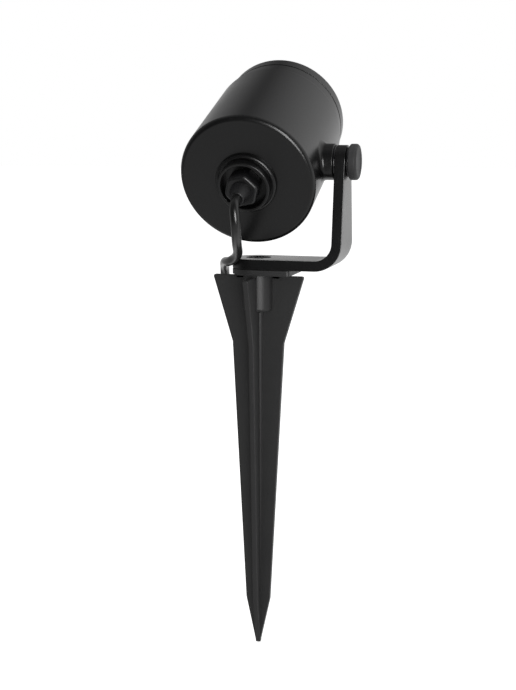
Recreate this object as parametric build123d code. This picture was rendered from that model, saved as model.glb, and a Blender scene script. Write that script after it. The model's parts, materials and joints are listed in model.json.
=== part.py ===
from build123d import *
import math
import os

# Garden spike spotlight, modelled in its photographed pose.
# +Z is up, +X points to the bracket's arm, +Y is where the lamp shines.
# The origin is on the spike's axis, level with the tops of its fins.
# All sizes are in millimetres.

# Spike
SPIKE_LENGTH = 176.3
FIN_THICKNESS = 2.4
FIN_TOP_HALF_WIDTH = 21.3
FIN_NECK_HALF_WIDTH = 12.07
FIN_NECK_DEPTH = 30.6
FIN_END_HALF_WIDTH = 5.75
FIN_END_DEPTH = 153.8
FIN_TIP_HALF_WIDTH = 0.9
FIN_TOP_ROUND = 1.2
FIN_TIP_ROUND = 0.45
PAD_UNDERSIDE = 0.9
PAD_RIGHT_END = 17.2
PAD_CORNER_RADIUS = 1.4
BOSS_RADIUS = 7.0
BOSS_DEPTH = 16.2
BOSS_END_ROUND = 1.6
CORE_TOP_RADIUS = 2.9
CORE_END_RADIUS = 1.6
STEM_HALF_WIDTH = 10.07

# Bracket, bent from one flat bar
BAR_THICKNESS = 4.5
BAR_HALF_WIDTH = 11.65
FOOT_TOP = 8.1
FOOT_BOTTOM = FOOT_TOP - BAR_THICKNESS
BEND_INNER_RADIUS = 7.7
ARM_INNER_X = 35.8
ARM_OUTER_X = ARM_INNER_X + BAR_THICKNESS
ARM_END_RADIUS = 7.25
SEAT_GAP = 0.1
PAD_TOP = FOOT_BOTTOM - SEAT_GAP

# Foot screw and its threaded insert
SCREW_RADIUS = 2.95
SCREW_HEAD_RADIUS = 5.2
SCREW_HEAD_SINK = 0.5
SCREW_LENGTH = 17.0
SCREW_SOCKET_FLATS = 4.0
SCREW_SOCKET_DEPTH = 2.2
FOOT_HOLE_RADIUS = 3.03
COUNTERSINK_RADIUS = 5.8
INSERT_RADIUS = 4.2
INSERT_LENGTH = 12.7
INSERT_SINK = 1.0
INSERT_RIB_COUNT = 12
INSERT_RIB_DEPTH = 0.35
INSERT_RIB_MARGIN = 1.0
THREAD_RADIUS = 3.0

# Head: the axis runs through the pivot and is tilted up at rest
HEAD_TILT = 24.8
PIVOT_HEIGHT = 50.4
PIVOT_FROM_REAR = 20.4
HEAD_RADIUS = 30.0
NECK_RADIUS = 28.6
BODY_END = 54.8
BODY_END_SLOPE = 1.5
BODY_END_DROP = 0.55
NECK_END = 61.9
BEZEL_START = 62.5
BEZEL_RIM_ROUND = 0.8
HEAD_LENGTH = 68.6
REAR_WALL = 5.0
REAR_EDGE_ROUND = 2.2
BORE_RADIUS = 27.0
REAR_BORE_RADIUS = 25.5
SHOULDER = 33.9

# Side boss and tilt pivot
SIDE_BOSS_RADIUS = 7.85
SIDE_BOSS_END = 34.9
SIDE_BOSS_FLARE = 1.6
SIDE_BOSS_ROOT = 27.4
SIDE_BOSS_FLARE_START = 28.6
PIVOT_STUD_RADIUS = 2.5
PIVOT_STUD_START = 29.4
PIVOT_INSERT_RADIUS = 3.2
PIVOT_INSERT_START = 28.6
PIVOT_BORE_RADIUS = 2.55
ARM_HOLE_RADIUS = 3.6
WASHER_GAP = 0.05
FRICTION_WASHER_RADIUS = 7.3
KNOB_WASHER_RADIUS = 6.4
KNOB_RADIUS = 7.75
KNOB_START = 41.35
KNOB_END = 45.1
KNOB_EDGE_ROUND = 1.0
STUD_HEAD_RADIUS = 4.4
STUD_HEAD_FLATS = 8
STUD_HEAD_START = 42.3
STUD_HEAD_END = 44.2

# Rear collar and cable gland, on the head's axis, behind the rear face
COLLAR_RADIUS = 13.5
COLLAR_HEIGHT = 2.0
COLLAR_EDGE_ROUND = 1.1
COLLAR_GROOVE_RADIUS = 12.2
COLLAR_GROOVE_DEPTH = 0.7
GUARD_RADIUS = 11.5
GUARD_BORE = 10.0
GUARD_HEIGHT = 5.4
GUARD_EDGE_ROUND = 0.5
COLLAR_FLOOR = 1.0
COLLAR_NECK_RADIUS = 7.9
COLLAR_NECK_END = 9.5
REAR_HOLE_RADIUS = 8.0
GLAND_RADIUS = 5.9
GLAND_BORE = 3.6
GLAND_START = 10.5
GLAND_END = -6.0
GLAND_FLANGE_RADIUS = 7.4
THREAD_GAP = 0.05
NUT_FLATS = 13.6
NUT_CORNER_ROUND = 1.5
NUT_END_ROUND = 1.0
NUT_TURN = -42.4
NUT_START = -1.3
NUT_END = -9.0
NOSE_RADIUS = 4.5
NOSE_STEP = -10.6
NOSE_TIP_RADIUS = 2.9
NOSE_TIP = -15.4
NOSE_TIP_ROUND = 0.5
NUT_CAVITY_RADIUS = 5.95
NUT_CAVITY_END = -6.6
SEAL_RADIUS = 3.55
SEAL_START = -0.5
SEAL_FLANGE_RADIUS = 5.0
LOCK_NUT_RADIUS = 11.0
LOCK_NUT_THICKNESS = 3.2

# Cord
CORD_DIAMETER = 4.2
CORD_RADIUS = CORD_DIAMETER / 2
CORD_BORE = 2.15
CORD_GAP = 0.3
EXIT_RUN = 6.6

# Light engine inside the head, from the shoulder forward
SPREADER_THICKNESS = 5.0
FOIL_THICKNESS = 0.4
FOIL_MARGIN = 1.0
FOIL_HOLE_GAP = 0.4
LED_BOARD_RADIUS = 17.5
LED_BOARD_THICKNESS = 1.6
LED_SQUARE = 11.0
LED_THICKNESS = 0.9
LED_FACE_RADIUS = 4.2
LED_FACE_DEPTH = 0.4
BOARD_SCREW_RADIUS = 1.5
BOARD_SCREW_PITCH_RADIUS = 13.5
BOARD_SCREW_HEAD_RADIUS = 2.6
BOARD_SCREW_HEAD_HEIGHT = 1.8
BOARD_SCREW_SLOT_WIDTH = 0.7
BOARD_SCREW_SLOT_DEPTH = 0.6
BOARD_HOLE_GAP = 0.1
HOLDER_RADIUS = 23.6
HOLDER_WALL = 1.3
HOLDER_DEPTH = 7.6
HOLDER_LIP = 0.6
HOLDER_SEAT = 0.8
HOLDER_LEG_WIDTH = 5.0
HOLDER_LEG_ANGLES = (30, 150, 270)
LENS_RADIUS = 22.0
LENS_DEPTH = 17.0
LENS_RIM = 2.0
LENS_RIM_WIDTH = 1.4
LENS_GAP = 0.6
LENS_POCKET_RADIUS = 5.0
LENS_POCKET_DEPTH = 6.0
LENS_FOOT_WIDTH = 1.6
LENS_SIDE = ((0.55, 0.30), (0.80, 0.62))
GLASS_RADIUS = 25.6
GLASS_THICKNESS = 3.0
GLASS_CHAMFER = 0.3
GLASS_GAP = 0.1
GLASS_SEAT_GAP = 0.2
FRONT_LIP = 1.5
FRONT_OPENING_RADIUS = 24.2
SKIRT_RADIUS = 26.9
SKIRT_BORE = 24.4
SKIRT_START = 55.9
GASKET_THICKNESS = 0.8
RING_SECTION_RADIUS = 0.75
RING_GAP = 0.02
RING_CENTRE = NECK_END - 2.0

# Driver inside the head, behind the spreader
DRIVER_RADIUS = 20.0
DRIVER_THICKNESS = 1.6
DRIVER_POSITION = 16.0
STANDOFF_RADIUS = 2.4
STANDOFF_REACH = 15.0
STANDOFF_TIP_RADIUS = 1.5
STANDOFF_TIP_LENGTH = 3.5
STANDOFF_HOLE_RADIUS = 1.55
COIL_RADIUS = 4.4
COIL_SECTION_RADIUS = 2.2
COIL_CENTRE_HEIGHT = 2.0
COIL_Y = 9.0
CAPACITOR_RADIUS = 3.1
CAPACITOR_HEIGHT = 6.5
CAPACITOR_ROUND = 0.5
CAPACITOR_SPOTS = ((-5.0, -9.0), (5.0, -9.0))
CHIP_SIZES = ((5.0, 4.0, 1.6), (6.0, 5.0, 2.2))
CHIP_SPOTS = ((9.5, 5.0), (-9.5, 5.0))
TERMINAL_Y = -12.0
TERMINAL_WIDTH = 10.0
TERMINAL_DEPTH = 7.0
TERMINAL_HEIGHT = 5.4
TERMINAL_HOLE_RADIUS = 1.1
CORE_RADIUS = 0.8
CORE_SPREAD = 2.5
CORE_START_SPREAD = 1.0
CORE_LEAD_IN = 2.0
CORE_DEPTH = 3.0
WIRE_RADIUS = 0.7
WIRE_LOW_REACH = 17.0
WIRE_HOLE_REACH = 19.5
WIRE_PAD_REACH = 14.2
WIRE_ARCH = 2.2
WIRE_FIRST_RISE = 5.0
WIRE_SECOND_RISE = 9.0
TAIL_START = 6.6

# The put-away length: a hank whose loops lie in two layers
CAMERA_SIDE_ANGLE = 16.4
HANK_STEP = 5.3
HANK_LAYER_STEP = 4.8
HANK_FOLD_RADIUS = 12.8
HANK_HALF_RUN = 40.0
HANK_WAIST = 9.0
HANK_NEAR_DEPTH = 16.4
HANK_HEIGHT = -86.5
PLUG_RUN_REACH = 23.0
PLUG_RUN_LENGTH = 12.0
TIE_HEIGHT = 6.0
TIE_THICKNESS = 1.0
TIE_GAP = 0.15
BUCKLE_WIDTH = 7.0
BUCKLE_THICKNESS = 2.0
BUCKLE_HEIGHT = 8.0

# Plug on the cord's far end
PLUG_RADIUS = 4.6
PLUG_LENGTH = 20.0
PLUG_EDGE_ROUND = 0.5
PLUG_GROOVE_COUNT = 10
PLUG_GROOVE_RADIUS = 0.5
PLUG_GROOVE_LENGTH = 9.0
PLUG_GROOVE_CENTRE = 6.0
RELIEF_LENGTH = 13.0
RELIEF_START_RADIUS = 2.9
RELIEF_END_RADIUS = 4.0
RELIEF_GROOVE_COUNT = 4
RELIEF_GROOVE_START = 2.2
RELIEF_GROOVE_STEP = 2.4
RELIEF_GROOVE_WIDTH = 1.0
RELIEF_GROOVE_DEPTH = 0.15
PIN_RADIUS = 0.9
PIN_LENGTH = 7.5
PIN_SPACING = 4.4
PIN_ROOT = 3.0
PIN_ROOT_RADIUS = 1.2
PIN_CHAMFER = 0.3
PLUG_RING_RADIUS = 4.45
PLUG_RING_SECTION = 0.75
PLUG_RING_GROOVE_RADIUS = 3.7
PLUG_RING_GROOVE_WIDTH = 1.6
PLUG_RING_FROM_END = 3.4
CUT_EXTRA = 1.0

TILT = math.radians(HEAD_TILT)
HEAD_AXIS = Vector(0, math.cos(TILT), math.sin(TILT))
PIVOT = Vector(0, 0, PIVOT_HEIGHT)
REAR_CENTRE = PIVOT - HEAD_AXIS * PIVOT_FROM_REAR
HEAD_PLACE = Plane(origin=REAR_CENTRE, x_dir=(1, 0, 0), z_dir=HEAD_AXIS).location
PIVOT_PLACE = Plane(origin=PIVOT, x_dir=(0, 1, 0), z_dir=(1, 0, 0)).location


def disc(radius, start, end):
    """A cylinder about local Z from height start to height end."""
    centre = (start + end) / 2
    return Pos(0, 0, centre) * Cylinder(radius, abs(end - start))


def ring(outer, inner, start, end):
    """A tube about local Z from height start to height end."""
    return disc(outer, start, end) - disc(inner, min(start, end) - CUT_EXTRA, max(start, end) + CUT_EXTRA)


def spun(points):
    """A solid of revolution about local Z from (radius, height) points."""
    outline = make_face(Plane.XZ * Polyline(*points, close=True))
    return revolve(outline, Axis.Z)


def lump(width, depth, start, end, x=0.0, y=0.0):
    """A block centred on (x, y) from height start to height end."""
    return Pos(x, y, (start + end) / 2) * Box(width, depth, abs(end - start))


# ---------------------------------------------------------------- spike


def fin_pair():
    """Two opposite fins as one flat blade in the XZ plane."""
    right = [
        (FIN_TOP_HALF_WIDTH, 0),
        (FIN_NECK_HALF_WIDTH, -FIN_NECK_DEPTH),
        (FIN_END_HALF_WIDTH, -FIN_END_DEPTH),
        (FIN_TIP_HALF_WIDTH, -SPIKE_LENGTH),
    ]
    left = [(-x, z) for x, z in reversed(right)]
    outline = make_face(Plane.XZ * Polyline(*right, *left, close=True))
    blade = extrude(outline, FIN_THICKNESS / 2, both=True)
    blade = fillet(blade.edges().filter_by(Axis.Y).group_by(Axis.Z)[0], FIN_TIP_ROUND)
    return fillet(blade.edges().filter_by(Axis.Y).group_by(Axis.Z)[-1], FIN_TOP_ROUND)


def top_pad():
    """The flat pad that the bracket's foot stands on, round at its left end."""
    end = Circle(BAR_HALF_WIDTH)
    plate = Pos(PAD_RIGHT_END / 2, 0) * Rectangle(PAD_RIGHT_END, 2 * BAR_HALF_WIDTH)
    outline = end + plate
    outline = fillet(outline.vertices().group_by(Axis.X)[-1], PAD_CORNER_RADIUS)
    return Pos(0, 0, PAD_UNDERSIDE) * extrude(outline, PAD_TOP - PAD_UNDERSIDE)


def screw_boss():
    """The round boss between the fins that takes the threaded insert."""
    boss = disc(BOSS_RADIUS, -BOSS_DEPTH, PAD_UNDERSIDE)
    return fillet(boss.edges().group_by(Axis.Z)[0], BOSS_END_ROUND)


def make_spike():
    blade = fin_pair()
    crossing = Rot(0, 0, 90) * blade
    core_height = FIN_END_DEPTH - BOSS_DEPTH
    core_centre = -(FIN_END_DEPTH + BOSS_DEPTH) / 2
    core = Pos(0, 0, core_centre) * Cone(CORE_END_RADIUS, CORE_TOP_RADIUS, core_height)
    stem = lump(2 * STEM_HALF_WIDTH, FIN_THICKNESS, -CUT_EXTRA, PAD_UNDERSIDE)
    cross_stem = Rot(0, 0, 90) * stem
    body = blade + crossing + core + stem + cross_stem + screw_boss() + top_pad()
    hole_floor = PAD_TOP - INSERT_SINK - INSERT_LENGTH
    return body - disc(INSERT_RADIUS, hole_floor, PAD_TOP + CUT_EXTRA)


def make_insert():
    """Brass insert with a ribbed outside and a threaded bore."""
    top = PAD_TOP - INSERT_SINK
    body = ring(INSERT_RADIUS, THREAD_RADIUS, top - INSERT_LENGTH, top)
    for index in range(INSERT_RIB_COUNT):
        groove = Pos(INSERT_RADIUS, 0, top - INSERT_LENGTH / 2)
        groove *= Box(2 * INSERT_RIB_DEPTH, INSERT_RIB_DEPTH, INSERT_LENGTH - 2 * INSERT_RIB_MARGIN)
        body -= Rot(0, 0, 360 / INSERT_RIB_COUNT * index) * groove
    return body


# -------------------------------------------------------------- bracket


def bar_profile():
    """The bent bar seen from the side, as a face in the XZ plane."""
    bend_x = ARM_INNER_X - BEND_INNER_RADIUS
    bend_z = FOOT_TOP + BEND_INNER_RADIUS
    top = PIVOT_HEIGHT + ARM_END_RADIUS
    outer_radius = BEND_INNER_RADIUS + BAR_THICKNESS
    with BuildSketch(Plane.XZ) as profile:
        with BuildLine():
            Line((-BAR_HALF_WIDTH, FOOT_BOTTOM), (bend_x, FOOT_BOTTOM))
            CenterArc((bend_x, bend_z), outer_radius, -90, 90)
            Line((ARM_OUTER_X, bend_z), (ARM_OUTER_X, top))
            Line((ARM_OUTER_X, top), (ARM_INNER_X, top))
            Line((ARM_INNER_X, top), (ARM_INNER_X, bend_z))
            CenterArc((bend_x, bend_z), BEND_INNER_RADIUS, 0, -90)
            Line((bend_x, FOOT_TOP), (-BAR_HALF_WIDTH, FOOT_TOP))
            Line((-BAR_HALF_WIDTH, FOOT_TOP), (-BAR_HALF_WIDTH, FOOT_BOTTOM))
        make_face()
    return profile.sketch


def arm_outline():
    """The bar seen along +X: full width at the bend, tapering to the round end."""
    bend_z = FOOT_TOP + BEND_INNER_RADIUS
    rise = PIVOT_HEIGHT - bend_z
    slope = math.asin((BAR_HALF_WIDTH - ARM_END_RADIUS) / rise)
    side_y = ARM_END_RADIUS * math.cos(slope)
    side_z = PIVOT_HEIGHT + ARM_END_RADIUS * math.sin(slope)
    top = (0, PIVOT_HEIGHT + ARM_END_RADIUS)
    with BuildSketch(Plane.YZ) as outline:
        with BuildLine():
            Line((-BAR_HALF_WIDTH, 0), (BAR_HALF_WIDTH, 0))
            Line((BAR_HALF_WIDTH, 0), (BAR_HALF_WIDTH, bend_z))
            Line((BAR_HALF_WIDTH, bend_z), (side_y, side_z))
            ThreePointArc((side_y, side_z), top, (-side_y, side_z))
            Line((-side_y, side_z), (-BAR_HALF_WIDTH, bend_z))
            Line((-BAR_HALF_WIDTH, bend_z), (-BAR_HALF_WIDTH, 0))
        make_face()
    return outline.sketch


def make_bracket():
    bar = extrude(bar_profile(), BAR_HALF_WIDTH, both=True)
    front_view = extrude(arm_outline(), ARM_OUTER_X + CUT_EXTRA, both=True)
    round_end = disc(BAR_HALF_WIDTH, 0, PIVOT_HEIGHT)
    beyond_end = lump(2 * ARM_OUTER_X, 4 * BAR_HALF_WIDTH, 0, 2 * PIVOT_HEIGHT, x=ARM_OUTER_X)
    body = (bar & front_view) & (round_end + beyond_end)
    body -= disc(FOOT_HOLE_RADIUS, 0, FOOT_TOP + CUT_EXTRA)
    sink = COUNTERSINK_RADIUS - FOOT_HOLE_RADIUS
    body -= Pos(0, 0, FOOT_TOP - sink / 2) * Cone(FOOT_HOLE_RADIUS, COUNTERSINK_RADIUS, sink)
    body -= PIVOT_PLACE * disc(ARM_HOLE_RADIUS, ARM_INNER_X - CUT_EXTRA, ARM_OUTER_X + CUT_EXTRA)
    return body


def make_foot_screw():
    """Countersunk screw with a hexagon socket."""
    head_top = FOOT_TOP - SCREW_HEAD_SINK
    head_height = SCREW_HEAD_RADIUS - SCREW_RADIUS
    head = Pos(0, 0, head_top - head_height / 2)
    head *= Cone(SCREW_RADIUS, SCREW_HEAD_RADIUS, head_height)
    shank = disc(SCREW_RADIUS, head_top - SCREW_LENGTH, head_top - head_height / 2)
    hexagon = RegularPolygon(SCREW_SOCKET_FLATS / 2, 6, major_radius=False)
    socket = Pos(0, 0, head_top - SCREW_SOCKET_DEPTH) * extrude(hexagon, SCREW_SOCKET_DEPTH)
    return head + shank - socket


def make_arm_bush():
    """Nylon bush pressed into the arm, in which the stud turns."""
    bush = ring(ARM_HOLE_RADIUS, PIVOT_BORE_RADIUS, ARM_INNER_X, ARM_OUTER_X)
    return PIVOT_PLACE * bush


# ----------------------------------------------------------------- knob


def stud_shape():
    """Threaded stud with an eight-sided head, about local Z."""
    outline = RegularPolygon(STUD_HEAD_RADIUS, STUD_HEAD_FLATS)
    head = Pos(0, 0, STUD_HEAD_START) * extrude(outline, STUD_HEAD_END - STUD_HEAD_START)
    shank = disc(PIVOT_STUD_RADIUS, PIVOT_STUD_START, STUD_HEAD_END)
    return shank + head


def make_knob():
    """Round thumb knob, moulded over the head of the stud."""
    knob = disc(KNOB_RADIUS, KNOB_START, KNOB_END)
    knob = fillet(knob.edges().filter_by(GeomType.CIRCLE), KNOB_EDGE_ROUND)
    knob -= stud_shape()
    return PIVOT_PLACE * knob


def make_stud():
    return PIVOT_PLACE * stud_shape()


def make_knob_washer():
    """Washer between the arm and the knob."""
    start = ARM_OUTER_X + WASHER_GAP
    return PIVOT_PLACE * ring(KNOB_WASHER_RADIUS, PIVOT_BORE_RADIUS, start, KNOB_START)


def make_friction_washer():
    """Washer between the head's boss and the arm that grips the set tilt."""
    end = ARM_INNER_X - WASHER_GAP
    return PIVOT_PLACE * ring(FRICTION_WASHER_RADIUS, PIVOT_BORE_RADIUS, SIDE_BOSS_END, end)


def make_pivot_insert():
    """Steel thread insert in the boss that the stud screws into."""
    sleeve = ring(PIVOT_INSERT_RADIUS, PIVOT_BORE_RADIUS, PIVOT_INSERT_START, SIDE_BOSS_END)
    return PIVOT_PLACE * sleeve


# ----------------------------------------------------------------- head


def housing_shell():
    """The turned housing: rear wall, bore with a shoulder, and stepped neck."""
    shell = spun(
        [
            (0, 0),
            (HEAD_RADIUS, 0),
            (HEAD_RADIUS, BODY_END - BODY_END_SLOPE),
            (HEAD_RADIUS - BODY_END_DROP, BODY_END),
            (NECK_RADIUS, BODY_END),
            (NECK_RADIUS, NECK_END),
            (BORE_RADIUS, NECK_END),
            (BORE_RADIUS, SHOULDER),
            (REAR_BORE_RADIUS, SHOULDER),
            (REAR_BORE_RADIUS, REAR_WALL),
            (0, REAR_WALL),
        ]
    )
    rear_edge = shell.edges().filter_by(GeomType.CIRCLE).group_by(Axis.Z)[0]
    return fillet(rear_edge, REAR_EDGE_ROUND)


def side_boss():
    """The flared boss on the housing's right side, about the pivot."""
    boss = disc(SIDE_BOSS_RADIUS, SIDE_BOSS_ROOT, SIDE_BOSS_END)
    flare_height = 2 * SIDE_BOSS_FLARE
    flare = Pos(0, 0, SIDE_BOSS_FLARE_START + flare_height / 2)
    flare *= Cone(SIDE_BOSS_RADIUS + SIDE_BOSS_FLARE, SIDE_BOSS_RADIUS, flare_height)
    return boss + flare


def make_housing():
    sideways = Pos(0, 0, PIVOT_FROM_REAR) * Rot(0, 90, 0)
    boss = sideways * side_boss() - disc((REAR_BORE_RADIUS + BORE_RADIUS) / 2, 0, HEAD_LENGTH)
    body = housing_shell() + boss
    body -= disc(REAR_HOLE_RADIUS, -CUT_EXTRA, REAR_WALL + CUT_EXTRA)
    body -= sideways * disc(PIVOT_INSERT_RADIUS, PIVOT_INSERT_START, SIDE_BOSS_END + CUT_EXTRA)
    return HEAD_PLACE * body


def make_bezel():
    """Front ring: a skirt inside the neck, a flush rim and a lip over the glass."""
    ring_end = HEAD_LENGTH - FRONT_LIP
    seat = ring_end - GLASS_THICKNESS - GASKET_THICKNESS - GLASS_SEAT_GAP
    groove_bottom = BORE_RADIUS - 2 * RING_SECTION_RADIUS
    groove_start = RING_CENTRE - RING_SECTION_RADIUS
    groove_end = RING_CENTRE + RING_SECTION_RADIUS
    bezel = spun(
        [
            (SKIRT_BORE, SKIRT_START),
            (SKIRT_RADIUS, SKIRT_START),
            (SKIRT_RADIUS, groove_start),
            (groove_bottom, groove_start),
            (groove_bottom, groove_end),
            (SKIRT_RADIUS, groove_end),
            (SKIRT_RADIUS, BEZEL_START),
            (NECK_RADIUS, BEZEL_START),
            (NECK_RADIUS, HEAD_LENGTH),
            (FRONT_OPENING_RADIUS, HEAD_LENGTH),
            (FRONT_OPENING_RADIUS, ring_end),
            (GLASS_RADIUS + GLASS_GAP, ring_end),
            (GLASS_RADIUS + GLASS_GAP, seat),
            (SKIRT_BORE, seat),
        ]
    )
    rim = bezel.edges().filter_by(GeomType.CIRCLE).group_by(Axis.Z)[-1]
    return HEAD_PLACE * fillet(rim, BEZEL_RIM_ROUND)


def make_front_glass():
    start = HEAD_LENGTH - FRONT_LIP - GASKET_THICKNESS - GLASS_THICKNESS
    glass = disc(GLASS_RADIUS, start, start + GLASS_THICKNESS)
    return HEAD_PLACE * chamfer(glass.edges().filter_by(GeomType.CIRCLE), GLASS_CHAMFER)


def make_glass_gasket():
    end = HEAD_LENGTH - FRONT_LIP
    return HEAD_PLACE * ring(GLASS_RADIUS, FRONT_OPENING_RADIUS, end - GASKET_THICKNESS, end)


def make_bezel_seal():
    centre = BORE_RADIUS - RING_SECTION_RADIUS
    seal = Pos(0, 0, RING_CENTRE) * Torus(centre, RING_SECTION_RADIUS - RING_GAP)
    return HEAD_PLACE * seal


def board_screw_spots():
    return [(BOARD_SCREW_PITCH_RADIUS, 0), (-BOARD_SCREW_PITCH_RADIUS, 0)]


def holes(spots, radius, start, end):
    """Cylinders that cut right through from one height to another."""
    cutter = disc(radius, start - CUT_EXTRA, end + CUT_EXTRA)
    return [Pos(x, y) * cutter for x, y in spots]


def make_heat_spreader():
    """Aluminium disc on the bore's shoulder that takes the heat of the board."""
    end = SHOULDER + SPREADER_THICKNESS
    body = disc(BORE_RADIUS - THREAD_GAP, SHOULDER, end)
    body -= holes(board_screw_spots(), BOARD_SCREW_RADIUS, SHOULDER, end)
    wire_spots = [(0, -WIRE_HOLE_REACH), (0, WIRE_HOLE_REACH)]
    body -= holes(wire_spots, 2 * WIRE_RADIUS, SHOULDER, end)
    return HEAD_PLACE * body


def engine_heights():
    """Heights of the thermal foil, the board and the emitter above the rear face."""
    foil = SHOULDER + SPREADER_THICKNESS
    board = foil + FOIL_THICKNESS
    emitter = board + LED_BOARD_THICKNESS
    return foil, board, emitter


def make_thermal_foil():
    foil, board, _ = engine_heights()
    body = disc(LED_BOARD_RADIUS - FOIL_MARGIN, foil, board)
    body -= holes(board_screw_spots(), BOARD_SCREW_RADIUS + FOIL_HOLE_GAP, foil, board)
    return HEAD_PLACE * body


def make_led_board():
    _, board, emitter = engine_heights()
    body = disc(LED_BOARD_RADIUS, board, emitter)
    body -= holes(board_screw_spots(), BOARD_SCREW_RADIUS + BOARD_HOLE_GAP, board, emitter)
    return HEAD_PLACE * body


def make_led_base():
    _, _, emitter = engine_heights()
    top = emitter + LED_THICKNESS
    body = lump(LED_SQUARE, LED_SQUARE, emitter, top)
    body -= disc(LED_FACE_RADIUS, top - LED_FACE_DEPTH, top + CUT_EXTRA)
    return HEAD_PLACE * body


def make_led_face():
    _, _, emitter = engine_heights()
    top = emitter + LED_THICKNESS
    return HEAD_PLACE * disc(LED_FACE_RADIUS, top - LED_FACE_DEPTH, top)


def make_board_screws():
    _, _, emitter = engine_heights()
    top = emitter + BOARD_SCREW_HEAD_HEIGHT
    slot_floor = top - BOARD_SCREW_SLOT_DEPTH
    slot = lump(3 * BOARD_SCREW_HEAD_RADIUS, BOARD_SCREW_SLOT_WIDTH, slot_floor, top + CUT_EXTRA)
    head = disc(BOARD_SCREW_HEAD_RADIUS, emitter, top) - slot
    screw = head + disc(BOARD_SCREW_RADIUS, SHOULDER + BOARD_HOLE_GAP, emitter)
    return Compound(children=[HEAD_PLACE * (Pos(x, y) * screw) for x, y in board_screw_spots()])


def lens_base():
    """Height of the lens's rear end."""
    _, _, emitter = engine_heights()
    return emitter + LED_THICKNESS + LENS_GAP


def make_lens():
    """Clear collimating lens with a pocket over the emitter."""
    base = lens_base()
    front = base + LENS_DEPTH
    profile = [
        (0, base + LENS_POCKET_DEPTH),
        (LENS_POCKET_RADIUS, base + LENS_POCKET_DEPTH),
        (LENS_POCKET_RADIUS, base),
        (LENS_POCKET_RADIUS + LENS_FOOT_WIDTH, base),
    ]
    profile += [(LENS_RADIUS * across, base + LENS_DEPTH * along) for across, along in LENS_SIDE]
    profile += [
        (LENS_RADIUS - LENS_RIM_WIDTH, front - LENS_RIM),
        (LENS_RADIUS, front - LENS_RIM),
        (LENS_RADIUS, front),
        (0, front),
    ]
    return HEAD_PLACE * spun(profile)


def make_lens_holder():
    """Cup with three legs that stands on the heat spreader and carries the lens."""
    foot, _, _ = engine_heights()
    front = lens_base() + LENS_DEPTH
    end = front + HOLDER_LIP
    bore = HOLDER_RADIUS - HOLDER_WALL
    cup = ring(HOLDER_RADIUS, bore, end - HOLDER_DEPTH, end)
    seat = front - LENS_RIM
    cup += ring(HOLDER_RADIUS - HOLDER_WALL / 2, LENS_RADIUS - HOLDER_SEAT, seat - HOLDER_SEAT, seat)
    leg_top = end - HOLDER_DEPTH + HOLDER_SEAT
    leg = lump(2 * HOLDER_WALL, HOLDER_LEG_WIDTH, foot, leg_top, x=HOLDER_RADIUS - 1.5 * HOLDER_WALL)
    for angle in HOLDER_LEG_ANGLES:
        cup += Rot(0, 0, angle) * leg
    return HEAD_PLACE * cup


# --------------------------------------------------------------- driver


def standoff_spots():
    return [(STANDOFF_REACH, 0), (-STANDOFF_REACH, 0)]


def make_driver_board():
    end = DRIVER_POSITION + DRIVER_THICKNESS
    body = disc(DRIVER_RADIUS, DRIVER_POSITION, end)
    body -= holes(standoff_spots(), STANDOFF_HOLE_RADIUS, DRIVER_POSITION, end)
    return HEAD_PLACE * body


def make_standoffs():
    tip_end = DRIVER_POSITION + STANDOFF_TIP_LENGTH
    post = disc(STANDOFF_RADIUS, REAR_WALL, DRIVER_POSITION)
    post += disc(STANDOFF_TIP_RADIUS, DRIVER_POSITION, tip_end)
    return Compound(children=[HEAD_PLACE * (Pos(x, y) * post) for x, y in standoff_spots()])


def make_driver_coil():
    """Ring coil that stands on the board, flattened where it sits."""
    start = DRIVER_POSITION + DRIVER_THICKNESS
    coil = Pos(0, COIL_Y, start + COIL_CENTRE_HEIGHT) * Torus(COIL_RADIUS, COIL_SECTION_RADIUS)
    return HEAD_PLACE * (coil - disc(DRIVER_RADIUS, start - COIL_SECTION_RADIUS, start))


def make_driver_capacitors():
    start = DRIVER_POSITION + DRIVER_THICKNESS
    can = disc(CAPACITOR_RADIUS, start, start + CAPACITOR_HEIGHT)
    can = fillet(can.edges().group_by(Axis.Z)[-1], CAPACITOR_ROUND)
    return Compound(children=[HEAD_PLACE * (Pos(x, y) * can) for x, y in CAPACITOR_SPOTS])


def make_driver_chips():
    start = DRIVER_POSITION + DRIVER_THICKNESS
    chips = []
    for (width, depth, height), (x, y) in zip(CHIP_SIZES, CHIP_SPOTS):
        chips.append(HEAD_PLACE * lump(width, depth, start, start + height, x, y))
    return Compound(children=chips)


def make_terminal_block():
    """Block under the driver board, with two wire holes facing the head's axis."""
    end = DRIVER_POSITION
    body = lump(TERMINAL_WIDTH, TERMINAL_DEPTH, end - TERMINAL_HEIGHT, end, y=TERMINAL_Y)
    face = TERMINAL_Y + TERMINAL_DEPTH / 2
    hole = Rot(90, 0, 0) * Cylinder(TERMINAL_HOLE_RADIUS, TERMINAL_DEPTH)
    for x in (-CORE_SPREAD, CORE_SPREAD):
        body -= Pos(x, face, end - TERMINAL_HEIGHT / 2) * hole
    return HEAD_PLACE * body


def tube(points, radii, radius):
    """A round tube along straight runs joined by tangent arcs."""
    path = FilletPolyline(*points, radius=radii)
    start = Plane(origin=path @ 0, z_dir=path % 0)
    return sweep(start * Circle(radius), path=path)


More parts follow.
